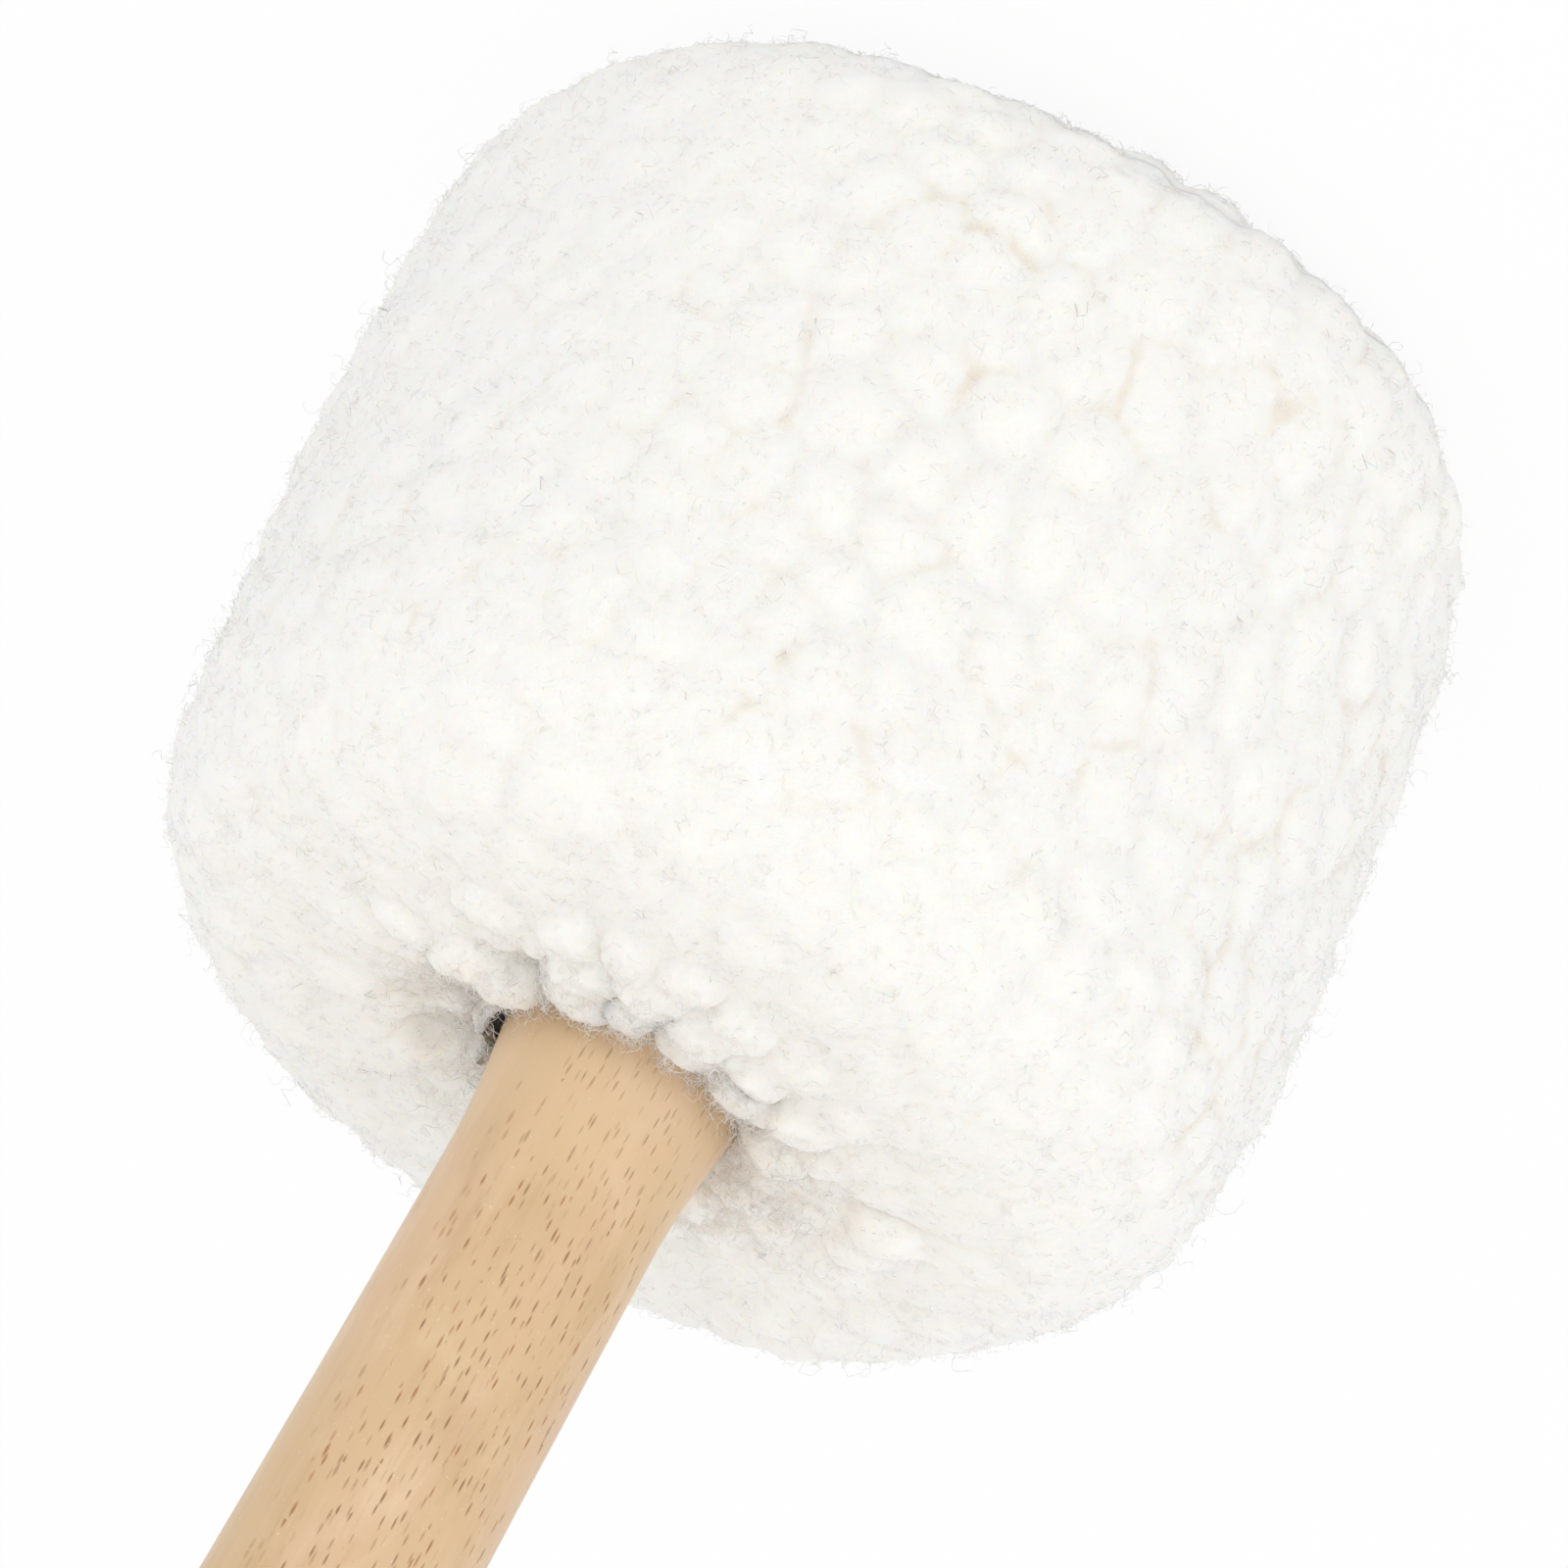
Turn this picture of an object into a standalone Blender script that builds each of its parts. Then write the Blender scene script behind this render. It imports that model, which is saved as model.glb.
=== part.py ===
"""Gong mallet: a fleece-covered drum head clamped on the flared neck of a turned beech handle.

The mallet stands on its crown. The origin is the centre of the crown face, +Z runs up the handle
to its end, and every length is in metres. The head is built from the inside out: each layer takes
its size from the one below it, its own thickness and the seating gap.
"""

import math

import bmesh
import bpy

# Seating gap between pieces that touch
GAP = 0.0003

# Handle
OVERALL_LENGTH = 0.372
SHAFT_RADIUS = 0.0125
GRIP_RADIUS = 0.0140
GRIP_CENTRE_FROM_END = 0.070
BUTT_RADIUS = 0.0132
BUTT_ROUND = 0.0095
SHOULDER_RADIUS = 0.0170
SHOULDER_BAND = 0.0023
FLARE_LENGTH = 0.0300
FLARE_CURVE = 1.6
TENON_RADIUS = 0.0090
TENON_CHAMFER = 0.0010
TENON_END_CLEARANCE = 0.0015

# Wooden core, with the clamp that holds it against the handle's shoulder
CORE_RADIUS = 0.0360
CORE_LENGTH = 0.0675
CORE_EDGE = 0.0015
COUNTERBORE_RADIUS = 0.0165
COUNTERBORE_DEPTH = 0.0060
WASHER_RADIUS = 0.0150
WASHER_THICKNESS = 0.0020
SCREW_RADIUS = 0.0025
SCREW_LENGTH = 0.0450
SCREW_POINT = 0.0060
SCREW_HEAD_RADIUS = 0.0055
SCREW_HEAD_HEIGHT = 0.0030
SCREW_SLOT_WIDTH = 0.0012
SCREW_SLOT_DEPTH = 0.0014

# Layers round the core
RUBBER_WALL = 0.0040
FELT_THICKNESS = 0.0040
FELT_TURNS = 2
FELT_TIP = 0.0008
FELT_SKIVE_ANGLE = math.radians(42)
CROWN_FELT = 0.0050
BASE_FELT = 0.0050
SIDE_WADDING = 0.0070
CROWN_WADDING = 0.0056
BASE_WADDING = 0.0052

# Fleece cover
FLEECE_THICKNESS = 0.0092
BASE_DRAW_IN = 0.0030
SIDE_SWELL = 0.0010
CROWN_ROUND = 0.0220
BASE_ROUND = 0.0200
CROWN_DOME = 0.0012
CROWN_CUT = 0.0005
SEAM_ANGLE = math.radians(46)
SEAM_DRAW = 0.0014
LIP_DROP = 0.0055
LIP_ROUND = 0.0038
LIP_RISE = 0.0027
LIP_SET_BACK = 0.0010
FACE_DIP = 0.0007
HEM_WIDTH = 0.0080

# Folds of the gathered end: how many, how deep, and the share of that depth at three places
GATHER_FOLDS = 15
GATHER_DEPTH = 0.0026
FOLD_AT_EDGE = 0.8
FOLD_AT_CREST = 0.9
FOLD_AT_LIP = 0.4

# Neck
COLLAR_WALL = 0.0016
COLLAR_PROUD = 0.0015
CORD_RADIUS = 0.0008

# Facets
HANDLE_FACETS = 48
FLARE_POINTS = 10
SHAFT_POINTS = 7
GRIP_POINTS = 4
BUTT_POINTS = 6
COLLAR_POINTS = 4
SCREW_HEAD_POINTS = 5
CORE_FACETS = 40
SCREW_FACETS = 24
WADDING_FACETS = 40
FELT_STEPS_PER_TURN = 44
FOLD_FACETS = 4
CORD_FACETS = 8
WELD = 1e-6
SMOOTH_ANGLE = math.radians(35)

TURN = 2 * math.pi

# Levels up the axis, from the crown face
CROWN_EDGE_Z = CROWN_DOME - CROWN_CUT
CROWN_FLEECE_Z = CROWN_EDGE_Z + FLEECE_THICKNESS
CROWN_PAD_Z = CROWN_FLEECE_Z + GAP
CROWN_FELT_Z = CROWN_PAD_Z + CROWN_WADDING + GAP
CORE_CROWN_Z = CROWN_FELT_Z + CROWN_FELT + GAP
CORE_BASE_Z = CORE_CROWN_Z + CORE_LENGTH
BASE_FELT_Z = CORE_BASE_Z + GAP
BASE_FELT_TOP_Z = BASE_FELT_Z + BASE_FELT
HEM_Z = BASE_FELT_TOP_Z + GAP
BASE_FLEECE_Z = HEM_Z + BASE_WADDING + GAP
HEAD_BASE_Z = BASE_FLEECE_Z + FLEECE_THICKNESS
LIP_Z = HEAD_BASE_Z - LIP_DROP

# Radii of the layers, from the axis out
RUBBER_INNER = CORE_RADIUS + GAP
RUBBER_OUTER = RUBBER_INNER + RUBBER_WALL
FELT_INNER = RUBBER_OUTER + GAP
FELT_OUTER = FELT_INNER + FELT_TURNS * (FELT_THICKNESS + GAP) - GAP
WADDING_INNER = FELT_OUTER + GAP
FLEECE_INNER = WADDING_INNER + SIDE_WADDING + GAP
HEAD_RADIUS = FLEECE_INNER + FLEECE_THICKNESS
HEAD_BASE_RADIUS = HEAD_RADIUS - BASE_DRAW_IN
COVER_TO_WADDING = FLEECE_THICKNESS + GAP


def corner_round(wanted, aside, along, cover):
    """The wanted edge radius, or less where a rounder edge would cut into the felt's corner.

    aside and along are that corner's distances from the head's side and end face.
    """
    reach = aside + along - cover
    room = reach * reach - (aside * aside + along * along - cover * cover)
    return min(wanted, reach + math.sqrt(max(room, 0.0)))


CROWN_EDGE = corner_round(
    CROWN_ROUND,
    HEAD_RADIUS - WADDING_INNER,
    CROWN_FELT_Z - CROWN_EDGE_Z,
    COVER_TO_WADDING + GAP,
)
BASE_EDGE = corner_round(
    BASE_ROUND,
    HEAD_BASE_RADIUS - WADDING_INNER,
    HEAD_BASE_Z - HEM_Z,
    COVER_TO_WADDING + GAP,
)
CROWN_ARC_R = HEAD_RADIUS - CROWN_EDGE
CROWN_ARC_Z = CROWN_EDGE_Z + CROWN_EDGE
BASE_ARC_R = HEAD_BASE_RADIUS - BASE_EDGE
BASE_ARC_Z = HEAD_BASE_Z - BASE_EDGE


def crown_arc(inset, angle):
    """A point of the crown's rounded edge, at an angle from straight down to straight out."""
    radius = CROWN_EDGE - inset
    return CROWN_ARC_R + radius * math.sin(angle), CROWN_ARC_Z - radius * math.cos(angle)


def base_arc(inset, angle):
    """A point of the base's rounded edge, at an angle from straight out to straight up."""
    radius = BASE_EDGE - inset
    return BASE_ARC_R + radius * math.cos(angle), BASE_ARC_Z + radius * math.sin(angle)


def side_point(inset, share):
    """A point of the head's side, at a share of the way from the crown's edge to the base's."""
    straight = HEAD_RADIUS + (HEAD_BASE_RADIUS - HEAD_RADIUS) * share
    swell = SIDE_SWELL * 4 * share * (1 - share)
    return straight + swell - inset, CROWN_ARC_Z + (BASE_ARC_Z - CROWN_ARC_Z) * share


def ease(share):
    """0 to 1 with a level start and end."""
    share = min(max(share, 0.0), 1.0)
    return share * share * (3 - 2 * share)


FLARE_Z = CORE_BASE_Z + GAP + SHOULDER_BAND
FLARE_TOP_Z = FLARE_Z + FLARE_LENGTH
GRIP_Z = OVERALL_LENGTH - GRIP_CENTRE_FROM_END


def handle_radius(z):
    """The turned outline of the handle above its shoulder."""
    if z <= FLARE_Z:
        return SHOULDER_RADIUS
    if z < FLARE_TOP_Z:
        share = (FLARE_TOP_Z - z) / FLARE_LENGTH
        return SHAFT_RADIUS + (SHOULDER_RADIUS - SHAFT_RADIUS) * share**FLARE_CURVE
    if z < GRIP_Z:
        share = ease((z - FLARE_TOP_Z) / (GRIP_Z - FLARE_TOP_Z))
        return SHAFT_RADIUS + (GRIP_RADIUS - SHAFT_RADIUS) * share
    share = ease((z - GRIP_Z) / GRIP_CENTRE_FROM_END)
    return GRIP_RADIUS + (BUTT_RADIUS - GRIP_RADIUS) * share


def spread(start, end, count):
    """count values from start to end, both included."""
    return [start + (end - start) * i / (count - 1) for i in range(count)]


def material(name, colour, roughness, metallic=0.0):
    made = bpy.data.materials.new(name)
    made.use_nodes = True
    shader = made.node_tree.nodes["Principled BSDF"]
    shader.inputs["Base Color"].default_value = (*colour, 1.0)
    shader.inputs["Roughness"].default_value = roughness
    shader.inputs["Metallic"].default_value = metallic
    made.diffuse_color = (*colour, 1.0)
    return made


def object_from(bm, name, surface, parent):
    """A named object from a closed bmesh, facing out, round faces smooth and real edges sharp."""
    bmesh.ops.remove_doubles(bm, verts=bm.verts, dist=WELD)
    bmesh.ops.recalc_face_normals(bm, faces=bm.faces)
    mesh = bpy.data.meshes.new(name)
    bm.to_mesh(mesh)
    bm.free()
    mesh.shade_smooth()
    mesh.set_sharp_from_angle(angle=SMOOTH_ANGLE)
    mesh.materials.append(surface)
    made = bpy.data.objects.new(name, mesh)
    made.parent = parent
    bpy.context.scene.collection.objects.link(made)
    return made


def turned(name, profile, facets, surface, parent, ring=False):
    """Spins a profile of (radius, height) points round the axis. A ring's profile is a loop."""
    bm = bmesh.new()
    points = [bm.verts.new((r, 0.0, z)) for r, z in profile]
    edges = [bm.edges.new(pair) for pair in zip(points, points[1:])]
    if ring:
        edges.append(bm.edges.new((points[-1], points[0])))
    bmesh.ops.spin(
        bm,
        geom=points + edges,
        cent=(0.0, 0.0, 0.0),
        axis=(0.0, 0.0, 1.0),
        angle=TURN,
        steps=facets,
        use_merge=True,
    )
    return object_from(bm, name, surface, parent)


def lofted_ring(name, section_at, facets, surface, parent):
    """Joins closed sections, one at each angle round the axis, into one ring."""
    bm = bmesh.new()
    loops = []
    for step in range(facets):
        angle = TURN * step / facets
        across, along = math.cos(angle), math.sin(angle)
        loops.append([bm.verts.new((r * across, r * along, z)) for r, z in section_at(angle)])
    for here, ahead in zip(loops, loops[1:] + loops[:1]):
        for i in range(len(here)):
            bm.faces.new((here[i - 1], here[i], ahead[i], ahead[i - 1]))
    return object_from(bm, name, surface, parent)


def make_handle(surface, parent):
    """Turned beech: tenon with a pilot bore, shoulder, flared neck, swelled grip, round butt."""
    pilot = SCREW_RADIUS + GAP
    tenon_end = CORE_CROWN_Z + COUNTERBORE_DEPTH + TENON_END_CLEARANCE
    screw_end = CORE_CROWN_Z + COUNTERBORE_DEPTH - 2 * GAP - WASHER_THICKNESS + SCREW_LENGTH
    shoulder = CORE_BASE_Z + GAP
    butt_round = min(BUTT_ROUND, BUTT_RADIUS)
    butt_z = OVERALL_LENGTH - butt_round
    profile = [
        (0.0, screw_end + GAP),
        (pilot, screw_end - SCREW_POINT + GAP),
        (pilot, tenon_end),
        (TENON_RADIUS - TENON_CHAMFER, tenon_end),
        (TENON_RADIUS, tenon_end + TENON_CHAMFER),
        (TENON_RADIUS, shoulder),
        (SHOULDER_RADIUS, shoulder),
    ]
    profile += [(handle_radius(z), z) for z in spread(FLARE_Z, FLARE_TOP_Z, FLARE_POINTS)]
    profile += [(handle_radius(z), z) for z in spread(FLARE_TOP_Z, GRIP_Z, SHAFT_POINTS)[1:]]
    profile += [(handle_radius(z), z) for z in spread(GRIP_Z, butt_z, GRIP_POINTS)[1:-1]]
    end_radius = handle_radius(butt_z)
    for angle in spread(0.0, TURN / 4, BUTT_POINTS):
        out = end_radius - butt_round + butt_round * math.cos(angle)
        profile.append((out, butt_z + butt_round * math.sin(angle)))
    profile.append((0.0, OVERALL_LENGTH))
    return turned("handle", profile, HANDLE_FACETS, surface, parent)


def make_core(surface, parent):
    """Turned wooden drum with the tenon's bore and the washer's counterbore."""
    bore = TENON_RADIUS + GAP
    floor = CORE_CROWN_Z + COUNTERBORE_DEPTH
    profile = [
        (COUNTERBORE_RADIUS, CORE_CROWN_Z),
        (CORE_RADIUS - CORE_EDGE, CORE_CROWN_Z),
        (CORE_RADIUS, CORE_CROWN_Z + CORE_EDGE),
        (CORE_RADIUS, CORE_BASE_Z - CORE_EDGE),
        (CORE_RADIUS - CORE_EDGE, CORE_BASE_Z),
        (bore, CORE_BASE_Z),
        (bore, floor),
        (COUNTERBORE_RADIUS, floor),
    ]
    return turned("core_block", profile, CORE_FACETS, surface, parent, ring=True)


def make_clamp(surface, parent):
    """Steel washer on the counterbore's floor, and the slotted screw that pulls it up."""
    floor = CORE_CROWN_Z + COUNTERBORE_DEPTH - GAP
    seat = floor - WASHER_THICKNESS
    hole = SCREW_RADIUS + GAP
    washer = [(hole, seat), (WASHER_RADIUS, seat), (WASHER_RADIUS, floor), (hole, floor)]
    turned("clamp_washer", washer, CORE_FACETS, surface, parent, ring=True)

    under_head = seat - GAP
    top = under_head - SCREW_HEAD_HEIGHT
    tip = under_head + SCREW_LENGTH
    profile = [(0.0, top)]
    for angle in spread(0.0, TURN / 4, SCREW_HEAD_POINTS)[1:]:
        rise = SCREW_HEAD_HEIGHT / 2 * (1 - math.cos(angle))
        profile.append((SCREW_HEAD_RADIUS * math.sin(angle), top + rise))
    profile += [
        (SCREW_HEAD_RADIUS, under_head),
        (SCREW_RADIUS, under_head),
        (SCREW_RADIUS, tip - SCREW_POINT),
        (0.0, tip),
    ]
    screw = turned("clamp_screw", profile, SCREW_FACETS, surface, parent)

    bm = bmesh.new()
    bmesh.ops.create_cube(bm, size=1.0)
    width = 3 * SCREW_HEAD_RADIUS
    bmesh.ops.scale(bm, vec=(width, SCREW_SLOT_WIDTH, 2 * SCREW_SLOT_DEPTH), verts=bm.verts)
    bmesh.ops.translate(bm, vec=(0.0, 0.0, top), verts=bm.verts)
    slot = object_from(bm, "screw_slot_cutter", surface, parent)
    slot.hide_render = True
    slot.display_type = "WIRE"
    cut = screw.modifiers.new("screw slot", "BOOLEAN")
    cut.operation = "DIFFERENCE"
    cut.object = slot


def make_rubber(surface, parent):
    """Rubber tube stretched over the core, which takes the hardness out of the blow."""
    profile = [
        (RUBBER_INNER, CORE_CROWN_Z),
        (RUBBER_OUTER, CORE_CROWN_Z),
        (RUBBER_OUTER, CORE_BASE_Z),
        (RUBBER_INNER, CORE_BASE_Z),
    ]
    return turned("rubber_sleeve", profile, CORE_FACETS, surface, parent, ring=True)


FELT_END_ANGLE = FELT_TURNS * TURN


def felt_thickness_at(angle):
    """The strip's thickness, skived to a thin tip at both ends."""
    from_tip = min(angle, FELT_END_ANGLE - angle) / FELT_SKIVE_ANGLE
    return FELT_TIP + (FELT_THICKNESS - FELT_TIP) * ease(from_tip)


def felt_inner_at(angle):
    """The strip's inner radius: it lies on the rubber, then on its own turn below."""
    if angle < TURN:
        climb = ease((angle - TURN + FELT_SKIVE_ANGLE) / FELT_SKIVE_ANGLE)
        return FELT_INNER + climb * (FELT_TIP + GAP)
    below = angle - TURN
    return felt_inner_at(below) + felt_thickness_at(below) + GAP


def make_felt_wrap(surface, parent):
    """A felt strip wound round the rubber in one spiral, its end face extruded step by step."""
    bm = bmesh.new()

    def corners(angle):
        inner = felt_inner_at(angle)
        outer = inner + felt_thickness_at(angle)
        across, along = math.cos(angle), math.sin(angle)
        ends = (
            (inner, CORE_CROWN_Z),
            (outer, CORE_CROWN_Z),
            (outer, CORE_BASE_Z),
            (inner, CORE_BASE_Z),
        )
        return [(r * across, r * along, z) for r, z in ends]

    start = [bm.verts.new(co) for co in corners(0.0)]
    end = bm.faces.new(start)
    steps = FELT_TURNS * FELT_STEPS_PER_TURN
    for step in range(1, steps + 1):
        end = bmesh.ops.extrude_discrete_faces(bm, faces=[end])["faces"][0]
        for vert, co in zip(end.verts, corners(FELT_END_ANGLE * step / steps)):
            vert.co = co
    bm.faces.new(start)
    return object_from(bm, "felt_wrap", surface, parent)


def make_felt_ends(surface, parent):
    """The felt disc on the core's crown end and the felt ring round the handle's shoulder."""
    disc = [
        (0.0, CROWN_FELT_Z),
        (FELT_OUTER, CROWN_FELT_Z),
        (FELT_OUTER, CROWN_FELT_Z + CROWN_FELT),
        (0.0, CROWN_FELT_Z + CROWN_FELT),
    ]
    turned("felt_crown_disc", disc, WADDING_FACETS, surface, parent)
    hole = SHOULDER_RADIUS + GAP
    ring = [
        (hole, BASE_FELT_Z),
        (FELT_OUTER, BASE_FELT_Z),
        (FELT_OUTER, BASE_FELT_TOP_Z),
        (hole, BASE_FELT_TOP_Z),
    ]
    turned("felt_base_ring", ring, WADDING_FACETS, surface, parent, ring=True)


def collar_outer(z):
    """The outside of the felt collar, which follows the handle's flare."""
    return handle_radius(z) + GAP + COLLAR_WALL


def opening_radius(z):
    """The cover's opening, drawn up round the collar."""
    return collar_outer(z) + GAP


def hem_chamfer():
    """The corner left out of the hem for the gathering cord."""
    return 2 * CORD_RADIUS + math.sqrt(2) * (CORD_RADIUS + GAP)


def hem_foot():
    """The outer radius of the hem where it stands on the felt ring."""
    return opening_radius(HEM_Z) + HEM_WIDTH


def make_wadding(surface, parent):
    """The soft disc under the crown panel, and the jacket that fills out the side and base."""
    pad_radius = min(CROWN_ARC_R, FELT_OUTER)
    pad = [
        (0.0, CROWN_PAD_Z),
        (pad_radius, CROWN_PAD_Z),
        (pad_radius, CROWN_PAD_Z + CROWN_WADDING),
        (0.0, CROWN_PAD_Z + CROWN_WADDING),
    ]
    turned("wadding_crown_pad", pad, WADDING_FACETS, surface, parent)

    slope = BASE_FLEECE_Z - HEM_Z
    foot = hem_foot() + 2 * GAP
    jacket = [(pad_radius + GAP, CROWN_PAD_Z)]
    crown_angles = (SEAM_ANGLE / 2, SEAM_ANGLE, TURN / 4)
    jacket += [crown_arc(COVER_TO_WADDING, angle) for angle in crown_angles]
    jacket += [base_arc(COVER_TO_WADDING, angle) for angle in spread(0.0, TURN / 4, 3)]
    jacket += [
        (foot + slope, BASE_FLEECE_Z - GAP),
        (foot + GAP, HEM_Z),
        (WADDING_INNER, HEM_Z),
        (WADDING_INNER, CROWN_FELT_Z - GAP),
        (pad_radius + GAP, CROWN_FELT_Z - GAP),
    ]
    turned("wadding_jacket", jacket, WADDING_FACETS, surface, parent, ring=True)


def make_collar(surface, parent):
    """Dark felt collar between the handle's flare and the cover's opening."""
    levels = spread(HEM_Z, LIP_Z + COLLAR_PROUD, COLLAR_POINTS)
    profile = [(collar_outer(z), z) for z in levels]
    profile += [(handle_radius(z) + GAP, z) for z in reversed(levels)]
    return turned("neck_collar", profile, HANDLE_FACETS, surface, parent, ring=True)


def make_cord(surface, parent):
    """The cord that gathers the hem tight round the collar."""
    centre_r = collar_outer(HEM_Z) + GAP + CORD_RADIUS
    centre_z = HEM_Z + CORD_RADIUS
    profile = []
    for angle in spread(0.0, TURN, CORD_FACETS + 1)[:-1]:
        out = centre_r + CORD_RADIUS * math.cos(angle)
        profile.append((out, centre_z + CORD_RADIUS * math.sin(angle)))
    return turned("gather_cord", profile, WADDING_FACETS, surface, parent, ring=True)


def seam_arc(inset, side):
    """The crown edge at the seam, half a gap to one side of it."""
    return crown_arc(inset, SEAM_ANGLE + side * GAP / 2 / (CROWN_EDGE - inset))


def make_crown_panel(surface, parent):
    """Round fleece panel: a shallow dome, worn flat where it rests, rolled over to its seam."""
    flat = CROWN_ARC_R * math.sqrt(CROWN_CUT / CROWN_DOME)
    profile = [(0.0, 0.0), (flat, 0.0)]
    for radius in spread(flat, CROWN_ARC_R, 3)[1:]:
        rise = CROWN_DOME * (radius / CROWN_ARC_R) ** 2 - CROWN_CUT
        profile.append((radius, rise))
    profile += [crown_arc(0.0, angle) for angle in spread(0.0, SEAM_ANGLE, 4)[1:-1]]
    profile += [seam_arc(SEAM_DRAW, -1), seam_arc(FLEECE_THICKNESS, -1)]
    profile += [crown_arc(FLEECE_THICKNESS, SEAM_ANGLE / 2)]
    profile += [(CROWN_ARC_R, CROWN_FLEECE_Z), (0.0, CROWN_FLEECE_Z)]
    facets = GATHER_FOLDS * FOLD_FACETS
    return turned("fleece_crown_panel", profile, facets, surface, parent)


def band_section(angle):
    """The fleece band's section at an angle round the head, folds and all."""
    fold = (1 - math.cos(GATHER_FOLDS * angle)) / 2 * GATHER_DEPTH
    lip_r = opening_radius(LIP_Z)
    crest_r = lip_r + LIP_ROUND
    middle_r = (crest_r + BASE_ARC_R) / 2
    chamfer = hem_chamfer()
    foot = hem_foot()
    outside = [
        seam_arc(SEAM_DRAW, 1),
        crown_arc(0.0, (SEAM_ANGLE * 2 + TURN / 4) / 3),
    ]
    outside += [side_point(0.0, share) for share in spread(0.0, 1.0, 3)]
    for angle in spread(0.0, TURN / 4, 4)[1:]:
        depth = fold * FOLD_AT_EDGE * angle / (TURN / 4)
        outside.append(base_arc(depth, angle))
    outside += [
        (middle_r, HEAD_BASE_Z - FACE_DIP - fold),
        (crest_r, LIP_Z + LIP_RISE - fold * FOLD_AT_CREST),
        (lip_r + LIP_SET_BACK + fold * FOLD_AT_LIP, LIP_Z),
    ]
    inside = [
        (opening_radius(HEM_Z + chamfer), HEM_Z + chamfer),
        (opening_radius(HEM_Z) + chamfer, HEM_Z),
        (foot, HEM_Z),
        (foot + BASE_FLEECE_Z - HEM_Z, BASE_FLEECE_Z),
        (BASE_ARC_R, BASE_FLEECE_Z),
        base_arc(FLEECE_THICKNESS, TURN / 8),
        side_point(FLEECE_THICKNESS, 1.0),
        side_point(FLEECE_THICKNESS, 0.0),
        seam_arc(FLEECE_THICKNESS, 1),
    ]
    return outside + inside


def make_band(surface, parent):
    """Fleece side band, its base end gathered into folds round the neck."""
    facets = GATHER_FOLDS * FOLD_FACETS
    return lofted_ring("fleece_band", band_section, facets, surface, parent)


def main():
    for leftover in list(bpy.data.objects):
        bpy.data.objects.remove(leftover, do_unlink=True)

    axis = bpy.data.objects.new("mallet_axis", None)
    bpy.context.scene.collection.objects.link(axis)

    beech = material("lacquered beech", (0.64, 0.45, 0.27), 0.38)
    core_wood = material("plain core wood", (0.52, 0.38, 0.23), 0.65)
    steel = material("zinc-plated steel", (0.62, 0.63, 0.64), 0.35, metallic=1.0)
    rubber = material("black rubber", (0.03, 0.03, 0.03), 0.75)
    felt = material("grey wool felt", (0.40, 0.39, 0.37), 0.95)
    wadding = material("polyester wadding", (0.86, 0.86, 0.85), 0.95)
    collar_felt = material("charcoal felt", (0.045, 0.045, 0.05), 0.95)
    thread = material("natural cord", (0.76, 0.72, 0.62), 0.85)
    fleece = material("cream wool fleece", (0.88, 0.865, 0.83), 0.95)

    make_handle(beech, axis)
    make_core(core_wood, axis)
    make_clamp(steel, axis)
    make_rubber(rubber, axis)
    make_felt_wrap(felt, axis)
    make_felt_ends(felt, axis)
    make_wadding(wadding, axis)
    make_collar(collar_felt, axis)
    make_cord(thread, axis)
    make_crown_panel(fleece, axis)
    make_band(fleece, axis)


main()
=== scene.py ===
"""Gong mallet: its looks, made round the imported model.

Each operator makes one piece or group of pieces: the lacquered beech handle, the padding inside
the head, the collar and cord at the neck, the fleece cover, its loose curls, and the stage.
Lengths are in metres. +Z runs up the handle from the crown, on which the mallet stands.
"""

import math

import bpy
import numpy as np
from bpy.props import FloatProperty, FloatVectorProperty, IntProperty, PointerProperty
from mathutils import Matrix, Vector, kdtree, noise


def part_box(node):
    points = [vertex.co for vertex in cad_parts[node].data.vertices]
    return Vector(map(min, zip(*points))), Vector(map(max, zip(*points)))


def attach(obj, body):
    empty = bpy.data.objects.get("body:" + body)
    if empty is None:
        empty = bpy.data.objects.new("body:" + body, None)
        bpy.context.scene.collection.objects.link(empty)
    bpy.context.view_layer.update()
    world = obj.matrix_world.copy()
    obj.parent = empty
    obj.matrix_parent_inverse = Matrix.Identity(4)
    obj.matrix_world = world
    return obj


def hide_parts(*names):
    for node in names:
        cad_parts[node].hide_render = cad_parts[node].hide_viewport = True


bl_info = {
    "name": "Gong mallet",
    "version": (1, 0, 0),
    "blender": (4, 5, 0),
    "location": "3D View > Sidebar > Mallet",
    "description": "Makes a fleece-headed gong mallet round its packed model",
    "category": "Object",
}

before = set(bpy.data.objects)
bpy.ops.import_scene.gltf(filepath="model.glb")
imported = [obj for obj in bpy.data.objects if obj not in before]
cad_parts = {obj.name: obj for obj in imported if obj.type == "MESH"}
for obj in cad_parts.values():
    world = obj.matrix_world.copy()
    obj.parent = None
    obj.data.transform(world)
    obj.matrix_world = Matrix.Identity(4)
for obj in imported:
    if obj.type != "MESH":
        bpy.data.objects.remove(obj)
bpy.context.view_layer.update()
BODY = "root"
TURN = 2 * math.pi
MM = 0.001

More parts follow.
